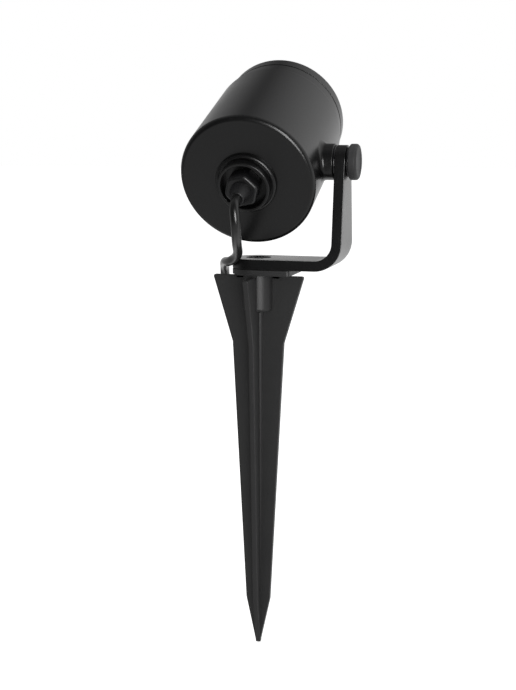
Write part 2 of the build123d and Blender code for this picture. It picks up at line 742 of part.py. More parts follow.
def make_cable_cores():
    """The two cores of the cord, from the gland to the terminal block."""
    face = TERMINAL_Y + TERMINAL_DEPTH / 2
    height = DRIVER_POSITION - TERMINAL_HEIGHT / 2
    cores = []
    for side in (-1, 1):
        points = [
            Vector(side * CORE_START_SPREAD, 0, TAIL_START),
            Vector(side * CORE_START_SPREAD, 0, height),
            Vector(side * CORE_SPREAD, face + CORE_LEAD_IN, height),
            Vector(side * CORE_SPREAD, face - CORE_DEPTH, height),
        ]
        radii, _ = corner_radii(points)
        cores.append(HEAD_PLACE * tube(points, radii, CORE_RADIUS))
    return Compound(children=cores)


def make_led_wires():
    """Two wires from the driver through the spreader to the board."""
    start = DRIVER_POSITION + DRIVER_THICKNESS
    _, _, emitter = engine_heights()
    top = emitter + WIRE_ARCH
    wires = []
    for side in (-1, 1):
        points = [
            Vector(0, side * WIRE_LOW_REACH, start),
            Vector(0, side * WIRE_LOW_REACH, start + WIRE_FIRST_RISE),
            Vector(0, side * WIRE_HOLE_REACH, start + WIRE_SECOND_RISE),
            Vector(0, side * WIRE_HOLE_REACH, top),
            Vector(0, side * WIRE_PAD_REACH, top),
            Vector(0, side * WIRE_PAD_REACH, emitter),
        ]
        radii, _ = corner_radii(points)
        wires.append(HEAD_PLACE * tube(points, radii, WIRE_RADIUS))
    return Compound(children=wires)


# ---------------------------------------------------------------- gland


def make_rear_collar():
    """Stepped collar on the rear face, with a guard ring and a threaded neck."""
    bore = GLAND_RADIUS + THREAD_GAP
    body = ring(COLLAR_RADIUS, bore, 0, -COLLAR_HEIGHT)
    rim = body.edges().filter_by(GeomType.CIRCLE).group_by(Axis.Z)[0]
    body = fillet(rim.sort_by(SortBy.RADIUS)[-1], COLLAR_EDGE_ROUND)
    groove_floor = COLLAR_GROOVE_DEPTH - COLLAR_HEIGHT
    body -= ring(COLLAR_GROOVE_RADIUS, GUARD_RADIUS, groove_floor, -COLLAR_HEIGHT)
    body += ring(GUARD_RADIUS, GUARD_BORE, -COLLAR_HEIGHT / 2, -GUARD_HEIGHT)
    lip = body.edges().filter_by(GeomType.CIRCLE).group_by(Axis.Z)[0]
    body = fillet(lip, GUARD_EDGE_ROUND)
    body -= disc(GUARD_BORE, -COLLAR_FLOOR, -GUARD_HEIGHT - CUT_EXTRA)
    body += ring(COLLAR_NECK_RADIUS, bore, 0, COLLAR_NECK_END)
    return HEAD_PLACE * body


def make_lock_nut():
    outline = RegularPolygon(LOCK_NUT_RADIUS, 6) - Circle(COLLAR_NECK_RADIUS + THREAD_GAP)
    return HEAD_PLACE * (Pos(0, 0, REAR_WALL) * extrude(outline, LOCK_NUT_THICKNESS))


def make_gland_body():
    """Threaded tube through the collar, with a flange inside the head."""
    body = ring(GLAND_RADIUS, GLAND_BORE, GLAND_START, GLAND_END)
    flange = ring(GLAND_FLANGE_RADIUS, GLAND_BORE, COLLAR_NECK_END, GLAND_START)
    return HEAD_PLACE * (body + flange)


def make_gland_seal():
    body = ring(SEAL_RADIUS, CORD_BORE, SEAL_START, GLAND_END)
    shoulder = ring(SEAL_FLANGE_RADIUS, CORD_BORE, GLAND_END, NUT_CAVITY_END)
    return HEAD_PLACE * (body + shoulder)


def make_gland_nut():
    """Hexagon nut with a round step and a tapered nose that the cord leaves by."""
    outline = Rot(0, 0, NUT_TURN) * RegularPolygon(NUT_FLATS / 2, 6, major_radius=False)
    outline = fillet(outline.vertices(), NUT_CORNER_ROUND)
    body = Pos(0, 0, NUT_END) * extrude(outline, NUT_START - NUT_END)
    body = fillet(body.edges().group_by(Axis.Z)[0], NUT_END_ROUND)
    nose = disc(NOSE_RADIUS, NUT_END, NOSE_STEP)
    taper_length = NOSE_STEP - NOSE_TIP
    taper = Pos(0, 0, (NOSE_STEP + NOSE_TIP) / 2) * Cone(NOSE_TIP_RADIUS, NOSE_RADIUS, taper_length)
    nose += taper
    nose = fillet(nose.edges().group_by(Axis.Z)[0], NOSE_TIP_ROUND)
    body += nose
    body -= disc(NUT_CAVITY_RADIUS, NUT_START + CUT_EXTRA, NUT_CAVITY_END)
    body -= disc(CORD_BORE, NUT_START + CUT_EXTRA, NOSE_TIP - CUT_EXTRA)
    return HEAD_PLACE * body


def make_cable_tail():
    """The sheathed end of the cord inside the gland."""
    return HEAD_PLACE * disc(CORD_RADIUS, NOSE_TIP, TAIL_START)


# ----------------------------------------------------------------- cord

SIDE = math.radians(CAMERA_SIDE_ANGLE)
HANK_DEPTH_AXIS = Vector(-math.sin(SIDE), math.cos(SIDE), 0)
HANK_WIDTH_AXIS = Vector(math.cos(SIDE), math.sin(SIDE), 0)
HANK_REACH = HANK_FOLD_RADIUS + 1.25 * HANK_STEP
HANK_CENTRE = HANK_DEPTH_AXIS * (HANK_NEAR_DEPTH + HANK_REACH) + Vector(0, 0, HANK_HEIGHT)
HANK_PLACE = Plane(origin=HANK_CENTRE, x_dir=HANK_DEPTH_AXIS, z_dir=HANK_WIDTH_AXIS).location
LAYER = HANK_LAYER_STEP / 2


def hank_point(x, y, layer):
    """A point of the hank's own frame, in the part's frame."""
    return HANK_CENTRE + HANK_DEPTH_AXIS * x + Vector(0, 0, y) + HANK_WIDTH_AXIS * layer


def lead_points():
    """Route of the free stretch, from the gland's nose to the hank's first run."""
    exit_point = REAR_CENTRE + HEAD_AXIS * (NOSE_TIP - CORD_GAP)
    first_run = hank_point(-HANK_REACH, HANK_HALF_RUN, -LAYER)
    return [
        exit_point,
        exit_point - HEAD_AXIS * EXIT_RUN,
        Vector(1.4, -37.2, 25.0),
        Vector(-0.3, -30.8, 17.0),
        Vector(-4.2, -17.4, 10.5),
        Vector(-10.0, -11.3, 6.3),
        Vector(-15.7, -0.9, 6.3),
        Vector(-20.8, 15.0, 4.2),
        Vector(-21.2, 16.5, -14.0),
        Vector(-13.5, 16.5, -30.9),
        first_run + Vector(0, 0, EXIT_RUN),
        first_run,
    ]


def corner_radii(points, share=0.45):
    """The largest even arc at each corner of a route, and its turn in degrees."""
    radii = []
    turns = []
    for before, corner, after in zip(points, points[1:], points[2:]):
        first = corner - before
        second = after - corner
        turn = first.get_angle(second)
        shorter = min(first.length, second.length)
        radii.append(share * shorter / math.tan(math.radians(turn) / 2))
        turns.append(turn)
    return radii, turns


def half_run(start, end):
    """Two arcs that leave and arrive along Y, from start to end."""
    rise = end.Y - start.Y
    across = Vector(end.X - start.X, 0, end.Z - start.Z)
    turn = 2 * math.atan(across.length / abs(rise))
    radius = abs(rise) / 2 / math.sin(turn)
    step = Vector(0, math.copysign(radius * math.sin(turn / 2), rise), 0)
    side = across.normalized() * (radius * (1 - math.cos(turn / 2)))
    middle = (start + end) / 2
    first = ThreePointArc(start, start + step + side, middle)
    second = ThreePointArc(middle, end - step - side, end)
    return [first, second]


def run_edges(reach, direction, layer, next_layer):
    """One run of the hank, drawn in at the waist, as four arcs.

    The run goes down for direction -1 and up for direction 1.
    """
    half = HANK_HALF_RUN
    waist = math.copysign(abs(reach) - HANK_WAIST, reach)
    start = Vector(reach, -direction * half, layer)
    middle = Vector(waist, 0, (layer + next_layer) / 2)
    end = Vector(reach, direction * half, next_layer)
    return half_run(start, middle) + half_run(middle, end)


def fold_edge(start_reach, end_reach, direction, layer):
    """A half turn at the hank's lower (-1) or upper (1) end."""
    y = direction * HANK_HALF_RUN
    bulge = y + direction * abs(end_reach - start_reach) / 2
    middle = ((start_reach + end_reach) / 2, bulge, layer)
    return ThreePointArc((start_reach, y, layer), middle, (end_reach, y, layer))


def hank_edges():
    """Centreline of the hank: two turns inward, a climb along a run, and out."""
    outer = HANK_REACH
    step = HANK_STEP
    reaches = [-outer, outer - step / 2, step - outer, outer - 1.5 * step, step - outer]
    layers = [-LAYER, -LAYER, -LAYER, -LAYER, LAYER]
    edges = []
    for index, reach in enumerate(reaches):
        direction = 1 if index % 2 else -1
        next_layer = layers[min(index + 1, len(layers) - 1)]
        edges += run_edges(reach, direction, layers[index], next_layer)
        if index + 1 < len(reaches):
            edges.append(fold_edge(reach, reaches[index + 1], direction, next_layer))
    edges.append(fold_edge(reaches[-1], PLUG_RUN_REACH, -1, LAYER))
    edges.append(Line((PLUG_RUN_REACH, -HANK_HALF_RUN, LAYER), tuple(hank_end())))
    return edges


def hank_end():
    """The cord's far end, where the plug's sleeve begins, in the hank's frame."""
    return Vector(PLUG_RUN_REACH, PLUG_RUN_LENGTH - HANK_HALF_RUN, LAYER)


def make_cord_lead():
    points = lead_points()
    radii, _ = corner_radii(points)
    return tube(points, radii, CORD_RADIUS)


def make_cord_hank():
    path = Wire(hank_edges())
    start = Plane(origin=(-HANK_REACH, HANK_HALF_RUN, -LAYER), z_dir=(0, -1, 0))
    return HANK_PLACE * sweep(start * Circle(CORD_RADIUS), path=path)


def make_hank_tie():
    """A strap round the hank's waist with a small buckle block."""
    near = HANK_REACH - HANK_WAIST + CORD_RADIUS + TIE_GAP
    far = HANK_REACH - HANK_STEP / 2 - HANK_WAIST + CORD_RADIUS + TIE_GAP
    reach = LAYER + CORD_RADIUS + TIE_GAP
    inner = RectangleRounded(near + far, 2 * reach, CORD_RADIUS)
    outer = offset(inner, TIE_THICKNESS)
    band = extrude(outer - inner, TIE_HEIGHT / 2, both=True)
    buckle = Pos(0, reach + TIE_THICKNESS) * Box(BUCKLE_WIDTH, BUCKLE_THICKNESS, BUCKLE_HEIGHT)
    band += buckle - extrude(inner, TIE_HEIGHT, both=True)
    band = Rot(90, 0, 0) * band
    return HANK_PLACE * (Pos((far - near) / 2, 0, 0) * band)


# ----------------------------------------------------------------- plug


def plug_place():
    """Frame at the cord's end, with local Z running up towards the pins."""
    end = hank_end()
    origin = hank_point(end.X, end.Y, end.Z)
    return Plane(origin=origin, x_dir=HANK_DEPTH_AXIS, z_dir=(0, 0, 1)).location


def pin_spots():
    """Centres of the two pins, side by side across the hank's layers."""
    return [(0, -PIN_SPACING / 2), (0, PIN_SPACING / 2)]


def make_strain_relief():
    """Tapered rubber sleeve with rings, moulded on the plug's rear."""
    cone = Cone(RELIEF_START_RADIUS, RELIEF_END_RADIUS, RELIEF_LENGTH)
    body = Pos(0, 0, RELIEF_LENGTH / 2) * cone
    slope = (RELIEF_END_RADIUS - RELIEF_START_RADIUS) / RELIEF_LENGTH
    for index in range(RELIEF_GROOVE_COUNT):
        start = RELIEF_GROOVE_START + RELIEF_GROOVE_STEP * index
        bottom = RELIEF_START_RADIUS + slope * start - RELIEF_GROOVE_DEPTH
        body -= ring(PLUG_RADIUS, bottom, start, start + RELIEF_GROOVE_WIDTH)
    return plug_place() * body


def make_plug_body():
    """Round plug with finger grooves, a groove for its sealing ring and two pin holes."""
    start = RELIEF_LENGTH
    end = start + PLUG_LENGTH
    body = disc(PLUG_RADIUS, start, end)
    body = fillet(body.edges().filter_by(GeomType.CIRCLE), PLUG_EDGE_ROUND)
    groove = Cylinder(PLUG_GROOVE_RADIUS, PLUG_GROOVE_LENGTH)
    groove = Pos(PLUG_RADIUS, 0, start + PLUG_GROOVE_CENTRE) * groove
    for index in range(PLUG_GROOVE_COUNT):
        body -= Rot(0, 0, 360 / PLUG_GROOVE_COUNT * index) * groove
    seat = end - PLUG_RING_FROM_END
    half = PLUG_RING_GROOVE_WIDTH / 2
    body -= ring(PLUG_RADIUS + CUT_EXTRA, PLUG_RING_GROOVE_RADIUS, seat - half, seat + half)
    for x, y in pin_spots():
        body -= Pos(x, y) * disc(PIN_ROOT_RADIUS, end - PIN_ROOT, end + CUT_EXTRA)
    return plug_place() * body


def make_plug_ring():
    centre = RELIEF_LENGTH + PLUG_LENGTH - PLUG_RING_FROM_END
    seal = Pos(0, 0, centre) * Torus(PLUG_RING_RADIUS, PLUG_RING_SECTION)
    return plug_place() * seal


def make_plug_pins():
    """Two straight pins with thicker roots held in the plug."""
    end = RELIEF_LENGTH + PLUG_LENGTH
    pin = disc(PIN_RADIUS, end, end + PIN_LENGTH)
    pin = chamfer(pin.edges().group_by(Axis.Z)[-1], PIN_CHAMFER)
    pin += disc(PIN_ROOT_RADIUS, end - PIN_ROOT, end)
    return Compound(children=[plug_place() * (Pos(x, y) * pin) for x, y in pin_spots()])


# --------------------------------------------------------------- report


def least_gap():
    """The least gap between the hank's strands, measured on points of its line."""
    points = []
    reach = 0.0
    for edge in hank_edges():
        count = int(edge.length) + 1
        for index in range(count):
            points.append((edge @ (index / count), reach + edge.length * index / count))
        reach += edge.length
    least = HANK_REACH
    clear = math.pi * CORD_DIAMETER
    for first in range(len(points)):
        for second in range(first + 1, len(points)):
            if points[second][1] - points[first][1] < clear:
                continue
            gap = (points[second][0] - points[first][0]).length - CORD_DIAMETER
            least = min(least, gap)
    return least


def print_cord():
    radii, turns = corner_radii(lead_points())
    for radius, turn in zip(radii, turns):
        print(f"lead corner: radius {radius:.1f} mm, turn {turn:.0f} degrees")
    print(f"hank: least gap to itself {least_gap():.2f} mm")
    solids = {"lead": make_cord_lead(), "hank": make_cord_hank()}
    section = math.pi * CORD_RADIUS**2
    total = 0.0
    for name, solid in solids.items():
        length = solid.volume / section
        total += length
        print(f"cord {name}: {length:.1f} mm by its volume, valid {solid.is_valid}")
    print(f"hank line: {sum(edge.length for edge in hank_edges()):.1f} mm")
    print(f"cord in all: {total:.1f} mm")


PIECES = {
    "spike": make_spike,
    "spike_insert": make_insert,
    "foot_screw": make_foot_screw,
    "bracket": make_bracket,
    "arm_bush": make_arm_bush,
    "friction_washer": make_friction_washer,
    "thumb_knob": make_knob,
    "knob_stud": make_stud,
    "knob_washer": make_knob_washer,
    "housing": make_housing,
    "pivot_insert": make_pivot_insert,
    "front_bezel": make_bezel,
    "front_glass": make_front_glass,
    "glass_gasket": make_glass_gasket,
    "bezel_seal": make_bezel_seal,
    "lens": make_lens,
    "lens_holder": make_lens_holder,
    "led_base": make_led_base,
    "led_face": make_led_face,
    "led_board": make_led_board,
    "board_screws": make_board_screws,
    "thermal_foil": make_thermal_foil,
    "heat_spreader": make_heat_spreader,
    "led_wires": make_led_wires,
    "driver_board": make_driver_board,
    "driver_coil": make_driver_coil,
    "driver_capacitors": make_driver_capacitors,
    "driver_chips": make_driver_chips,
    "driver_standoffs": make_standoffs,
    "terminal_block": make_terminal_block,
    "cable_cores": make_cable_cores,
    "cable_tail": make_cable_tail,
    "rear_collar": make_rear_collar,
    "collar_lock_nut": make_lock_nut,
    "gland_body": make_gland_body,
    "gland_seal": make_gland_seal,
    "gland_nut": make_gland_nut,
    "cord_lead": make_cord_lead,
    "cord_hank": make_cord_hank,
    "hank_tie": make_hank_tie,
    "plug_relief": make_strain_relief,
    "plug_body": make_plug_body,
    "plug_seal": make_plug_ring,
    "plug_pins": make_plug_pins,
}

os.makedirs("parts", exist_ok=True)
for name, make in PIECES.items():
    export_step(make(), f"parts/{name}.step")
print_cord()
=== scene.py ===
"""Dresses a garden spike spotlight: shapes, finishes, cord and studio."""

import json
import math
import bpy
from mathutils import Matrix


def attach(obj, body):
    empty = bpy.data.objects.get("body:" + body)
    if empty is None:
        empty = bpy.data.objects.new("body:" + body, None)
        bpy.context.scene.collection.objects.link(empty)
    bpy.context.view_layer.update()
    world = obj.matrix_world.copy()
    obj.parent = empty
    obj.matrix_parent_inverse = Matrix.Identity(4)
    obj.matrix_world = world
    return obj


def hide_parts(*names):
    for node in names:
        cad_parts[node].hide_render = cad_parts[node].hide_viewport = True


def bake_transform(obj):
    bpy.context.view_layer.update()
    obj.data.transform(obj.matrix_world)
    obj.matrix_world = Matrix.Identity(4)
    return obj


bl_info = {
    "name": "Garden Spike Spotlight",
    "version": (1, 0, 0),
    "blender": (4, 5, 0),
    "location": "View3D > Sidebar > Spotlight",
    "description": "Builds the visible pieces and finishes of a garden spotlight on a ground spike",
    "category": "Object",
}

import bmesh
import bpy
from mathutils import Matrix, Vector

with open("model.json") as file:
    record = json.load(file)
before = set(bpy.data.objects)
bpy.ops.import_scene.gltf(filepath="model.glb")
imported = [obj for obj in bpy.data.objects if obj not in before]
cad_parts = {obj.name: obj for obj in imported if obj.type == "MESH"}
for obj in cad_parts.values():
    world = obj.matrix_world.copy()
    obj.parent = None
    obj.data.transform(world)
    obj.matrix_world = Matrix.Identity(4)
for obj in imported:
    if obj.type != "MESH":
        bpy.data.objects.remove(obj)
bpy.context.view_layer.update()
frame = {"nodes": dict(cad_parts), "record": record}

MM = 0.001
FULL_TURN = 2 * math.pi
TURN_STEPS = 96
SMALL_TURN_STEPS = 48
SHARP_ANGLE = math.radians(28)
SHADING_ANGLE = math.radians(35)

# In the pieces' own millimetres.
MERGE_DISTANCE = 0.0001
NEAR = 0.02

GROUND = "ground_body"
BRACKET = "bracket_body"
HEAD = "head_body"
KNOB = "knob_body"

HEAD_TILT = math.radians(24.8)
PIVOT_HEIGHT = 50.4
PIVOT_FROM_REAR = 20.4


def frame_at(origin, x_dir, z_dir):
    """Matrix from a piece's own millimetres to the model's metres."""
    x_axis = Vector(x_dir).normalized()
    z_axis = Vector(z_dir).normalized()
    y_axis = z_axis.cross(x_axis)
    turn = Matrix((x_axis, y_axis, z_axis)).transposed().to_4x4()
    return Matrix.Scale(MM, 4) @ Matrix.Translation(origin) @ turn


HEAD_AXIS = Vector((0, math.cos(HEAD_TILT), math.sin(HEAD_TILT)))
PIVOT = Vector((0, 0, PIVOT_HEIGHT))
REAR_CENTRE = PIVOT - HEAD_AXIS * PIVOT_FROM_REAR
UPRIGHT = frame_at((0, 0, 0), (1, 0, 0), (0, 0, 1))
HEAD_FRAME = frame_at(REAR_CENTRE, (1, 0, 0), HEAD_AXIS)
PIVOT_FRAME = frame_at(PIVOT, (0, 1, 0), (1, 0, 0))


# ------------------------------------------------------------ mesh tools


def spin_outline(mesh, outline, steps=TURN_STEPS):
    """Spins an outline of (radius, height) points about Z into a closed shell."""
    on_axis = outline[0][0] == 0 and outline[-1][0] == 0
    verts = [mesh.verts.new((radius, 0, height)) for radius, height in outline]
    pairs = list(zip(verts, verts[1:]))
    if not on_axis:
        pairs.append((verts[-1], verts[0]))
    edges = [mesh.edges.new(pair) for pair in pairs]
    bmesh.ops.spin(
        mesh,
        geom=verts + edges,
        cent=(0, 0, 0),
        axis=(0, 0, 1),
        angle=FULL_TURN,
        steps=steps,
        use_merge=True,
    )
    bmesh.ops.remove_doubles(mesh, verts=mesh.verts, dist=MERGE_DISTANCE)
    bmesh.ops.recalc_face_normals(mesh, faces=mesh.faces)


def is_sharp(edge, limit=SHARP_ANGLE):
    """True for an edge between two faces that meet at more than the limit."""
    return len(edge.link_faces) == 2 and edge.calc_face_angle(0) > limit


def bevel_edges(mesh, edges, width, segments=3):
    """Rounds the given edges."""
    if edges:
        bmesh.ops.bevel(
            mesh,
            geom=edges,
            offset=width,
            offset_type="OFFSET",
            segments=segments,
            profile=0.5,
            affect="EDGES",
            material=-1,
            clamp_overlap=True,
        )


def bevel_ring(mesh, radius, height, width, segments=3):
    """Rounds the sharp ring of edges at that radius and height about Z."""
    ring = []
    for edge in mesh.edges:
        spots = [(math.hypot(vert.co.x, vert.co.y), vert.co.z) for vert in edge.verts]
        level = all(abs(away - radius) < NEAR and abs(z - height) < NEAR for away, z in spots)
        if level and is_sharp(edge):
            ring.append(edge)
    bevel_edges(mesh, ring, width, segments)


def bevel_all(mesh, width, segments=2):
    """Rounds every sharp edge."""
    bevel_edges(mesh, [edge for edge in mesh.edges if is_sharp(edge)], width, segments)


def upright_edges(mesh):
    """The edges that rise more than 1 mm."""
    return [edge for edge in mesh.edges if abs(edge.verts[0].co.z - edge.verts[1].co.z) > 1]


def block(mesh, size, centre=(0, 0, 0)):
    """Adds a box of that size about that centre."""
    corners = bmesh.ops.create_cube(mesh, size=1)["verts"]
    bmesh.ops.scale(mesh, vec=size, verts=corners)
    bmesh.ops.translate(mesh, vec=centre, verts=corners)


def join_copy(mesh, other, matrix=None):
    """Adds another bmesh to this one, moved by a matrix, and frees it."""
    if matrix is not None:
        bmesh.ops.transform(other, matrix=matrix, verts=other.verts)
    store = bpy.data.meshes.new("store")
    other.to_mesh(store)
    other.free()
    mesh.from_mesh(store)
    bpy.data.meshes.remove(store)


def arc_verts(mesh, centre, start, sweep, steps):
    """Vertices on an arc in the XY plane, made by spinning the first one."""
    first = mesh.verts.new(start)
    bmesh.ops.spin(
        mesh,
        geom=[first],
        cent=centre,
        axis=(0, 0, 1),
        angle=sweep,
        steps=steps,
        use_merge=False,
    )
    mesh.verts.ensure_lookup_table()
    return list(mesh.verts)[-steps - 1 :]


def close_loop(mesh, verts):
    """Joins vertices into one closed loop and returns its edges."""
    edges = []
    for first, second in zip(verts, verts[1:] + verts[:1]):
        edge = mesh.edges.get((first, second))
        edges.append(edge or mesh.edges.new((first, second)))
    return edges


def thicken(mesh, height):
    """Extrudes all of a flat sheet upwards into a closed plate."""
    made = bmesh.ops.extrude_face_region(mesh, geom=list(mesh.faces), use_keep_orig=True)
    raised = [item for item in made["geom"] if isinstance(item, bmesh.types.BMVert)]
    bmesh.ops.translate(mesh, vec=(0, 0, height), verts=raised)
    bmesh.ops.recalc_face_normals(mesh, faces=mesh.faces)


def finish_piece(mesh, name, body, finish, matrix, node):
    """Makes the finished object: placed, smoothed, coloured and riding on its body."""
    bmesh.ops.transform(mesh, matrix=matrix, verts=mesh.verts)
    for face in mesh.faces:
        face.smooth = True
    for edge in mesh.edges:
        edge.smooth = not is_sharp(edge, SHADING_ANGLE)
    data = bpy.data.meshes.new(name)
    mesh.to_mesh(data)
    mesh.free()
    data.materials.append(finish)
    piece = bpy.data.objects.new(name, data)
    bpy.context.scene.collection.objects.link(piece)
    weights = piece.modifiers.new("Weighted normals", "WEIGHTED_NORMAL")
    weights.keep_sharp = True
    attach(piece, body)
    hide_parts(node)
    return piece


# ------------------------------------------------------- shader building

# The Mix node's own numbers for its colour sockets.
MIX_AMOUNT = 0
MIX_FIRST = 6
MIX_SECOND = 7
MIX_RESULT = 2


class Wire:
    """A number, colour or vector socket that takes part in Python arithmetic."""

    def __init__(self, recipe, socket):
        self.recipe = recipe
        self.socket = socket

    def maths(self, operation, *values):
        """The result of a Math node on these values."""
        return self.recipe.add("ShaderNodeMath", {"operation": operation}, values)

    def __add__(self, other):
        return self.maths("ADD", self, other)

    def __radd__(self, other):
        return self.maths("ADD", other, self)

    def __sub__(self, other):
        return self.maths("SUBTRACT", self, other)

    def __rsub__(self, other):
        return self.maths("SUBTRACT", other, self)

    def __mul__(self, other):
        return self.maths("MULTIPLY", self, other)

    def __rmul__(self, other):
        return self.maths("MULTIPLY", other, self)

    def clipped(self, low, high):
        """This value spread from low..high to 0..1, and held there."""
        sockets = {"Value": self, "From Min": low, "From Max": high}
        return self.recipe.add("ShaderNodeMapRange", {"clamp": True}, sockets)

    def eased(self, low, high):
        """This value spread from low..high to 0..1 with soft ends."""
        sockets = {"Value": self, "From Min": low, "From Max": high}
        return self.recipe.add("ShaderNodeMapRange", {"interpolation_type": "SMOOTHSTEP"}, sockets)

    def size(self):
        """This value without its sign."""
        return self.maths("ABSOLUTE", self)

    def sine(self):
        """The sine of this value, taken as radians."""
        return self.maths("SINE", self)


class Recipe:
    """A material, or the world, made of nodes that are each added by one call."""

    def __init__(self, name, world=None):
        self.material = world or bpy.data.materials.new(name)
        self.material.use_nodes = True
        self.nodes = self.material.node_tree.nodes
        self.links = self.material.node_tree.links
        self.nodes.clear()

    def add(self, kind, settings=None, sockets=(), out=0):
        """Adds a node, sets its settings, fills or links its sockets, and returns an output."""
        node = self.nodes.new(kind)
        for key, value in (settings or {}).items():
            setattr(node, key, value)
        pairs = sockets.items() if isinstance(sockets, dict) else enumerate(sockets)
        for key, value in pairs:
            if isinstance(value, Wire):
                self.links.new(value.socket, node.inputs[key])
            else:
                node.inputs[key].default_value = value
        return Wire(self, node.outputs[out]) if len(node.outputs) else None

    def place(self, out="Object"):
        """Where the shaded point lies. The world reads its direction from Generated."""
        return self.add("ShaderNodeTexCoord", out=out)

    def axis(self, out, source=None):
        """The X, Y or Z number of a place."""
        return self.add("ShaderNodeSeparateXYZ", None, [source or self.place()], out)

    def stretched(self, scale):
        """A place scaled along each axis, for a pattern with a direction."""
        return self.add("ShaderNodeMapping", None, {"Vector": self.place(), "Scale": scale})

    def noise(self, scale, detail, source=None, roughness=0.5):
        """Cloudy noise with that many features a metre, near 0..1."""
        sockets = {"Vector": source or self.place(), "Scale": scale, "Detail": detail}
        sockets["Roughness"] = roughness
        return self.add("ShaderNodeTexNoise", None, sockets)

    def cells(self, scale, feature="F1"):
        """Distances in a pattern with that many cells a metre."""
        sockets = {"Vector": self.place(), "Scale": scale}
        return self.add("ShaderNodeTexVoronoi", {"feature": feature}, sockets, "Distance")

    def blend(self, amount, first, second):
        """Colour that goes from the first to the second."""
        sockets = {MIX_AMOUNT: amount, MIX_FIRST: first, MIX_SECOND: second}
        return self.add("ShaderNodeMix", {"data_type": "RGBA"}, sockets, MIX_RESULT)

    def raised(self, height, depth, strength, under=None):
        """A bump of that depth in metres where the height is 1."""
        sockets = {"Height": height, "Distance": depth, "Strength": strength}
        if under is not None:
            sockets["Normal"] = under
        return self.add("ShaderNodeBump", None, sockets)

    def surface(self, sockets):
        """The Principled shader and the output, which finish the material."""
        shader = self.add("ShaderNodeBsdfPrincipled", None, sockets)
        self.add("ShaderNodeOutputMaterial", None, {"Surface": shader})
        return self.material


def tone(level, tint=(1.0, 1.0, 1.0)):
    """A colour of that brightness with a tint."""
    return (level * tint[0], level * tint[1], level * tint[2], 1.0)


# ------------------------------------------------------------- settings


class HeadSettings(bpy.types.PropertyGroup):
    """Sizes of the lamp head, in millimetres."""

    radius: bpy.props.FloatProperty(
        name="Housing radius", description="Outer radius of the turned housing", default=30.0
    )
    edge: bpy.props.FloatProperty(
        name="Rear edge", description="Rounding of the housing's rear edge", default=2.2
    )
    boss_flare: bpy.props.FloatProperty(
        name="Boss fillet", description="Fillet where the side boss leaves the housing", default=1.7
    )


class BracketSettings(bpy.types.PropertyGroup):
    """Sizes of the bent bracket, in millimetres."""

    thickness: bpy.props.FloatProperty(
        name="Bar thickness", description="Thickness of the flat bar", default=4.5
    )
    edge: bpy.props.FloatProperty(
        name="Bar edge", description="Rounding of the bar's long edges", default=0.5
    )


class SpikeSettings(bpy.types.PropertyGroup):
    """Sizes of the ground spike, in millimetres."""

    fin: bpy.props.FloatProperty(name="Fin thickness", description="Thickness of a fin", default=2.4)
    edge: bpy.props.FloatProperty(
        name="Fin edge", description="Rounding of the fins' long edges", default=0.35
    )


class CordSettings(bpy.types.PropertyGroup):
    """Sizes of the lead."""

    diameter: bpy.props.FloatProperty(
        name="Diameter",
        description="Outer diameter of the lead, in metres",
        default=0.0042,
        precision=4,
        unit="LENGTH",
    )
    length: bpy.props.FloatProperty(
        name="Length",
        description="Length outside the head, without the plug, in metres",
        default=0.80,
        unit="LENGTH",
    )


class FinishSettings(bpy.types.PropertyGroup):
    """Colours of the outside."""

    paint: bpy.props.FloatVectorProperty(
        name="Powder coat",
        description="Colour of the head and bracket",
        subtype="COLOR",
        default=(0.0080, 0.0080, 0.0084),
    )
    plastic: bpy.props.FloatVectorProperty(
        name="Spike plastic",
        description="Colour of the ground spike",
        subtype="COLOR",
        default=(0.0350, 0.0350, 0.0355),
    )
    sheath: bpy.props.FloatVectorProperty(
        name="Lead sheath",
        description="Colour of the lead",
        subtype="COLOR",
        default=(0.010, 0.010, 0.010),
    )


class StageSettings(bpy.types.PropertyGroup):
    """Studio floor, lamps and camera."""

    top_power: bpy.props.FloatProperty(
        name="Top lamp",
        description="Power of the large soft lamp overhead, in watts",
        default=6.5,
        unit="POWER",
    )
    strip_power: bpy.props.FloatProperty(
        name="Strip lamp",
        description="Power of the narrow lamp at the front right, in watts",
        default=11.0,
        unit="POWER",
    )
    fill: bpy.props.FloatProperty(
        name="Room light", description="Strength of the even light from all round", default=0.45
    )
    lens: bpy.props.FloatProperty(
        name="Lens", description="Camera focal length, in millimetres", default=56.1, unit="CAMERA"
    )


def settings():
    """The settings of the current scene."""
    return bpy.context.scene.spotlight


# -------------------------------------------------------------- finishes


def powder_coat(name, colour, roughness=0.31, ior=1.42):
    """Satin powder coat: fine orange peel, faint dust and soft colour drift."""
    recipe = Recipe(name)
    peel = recipe.noise(1500, 2.0)
    grit = recipe.noise(5200, 1.0)
    drift = recipe.noise(45, 3.0)
    dust = recipe.noise(900, 4.0).clipped(0.62, 0.80)
    base = recipe.blend(drift, tone(0.86, colour), tone(1.20, colour))
    base = recipe.blend(dust * 0.10, base, tone(0.10))
    fine = recipe.raised(grit, depth=0.00002, strength=0.35)
    bump = recipe.raised(peel, depth=0.00005, strength=0.30, under=fine)
    return recipe.surface(
        {
            "Base Color": base,
            "Roughness": roughness + (drift - 0.5) * 0.10 + dust * 0.12,
            "IOR": ior,
            "Normal": bump,
        }
    )


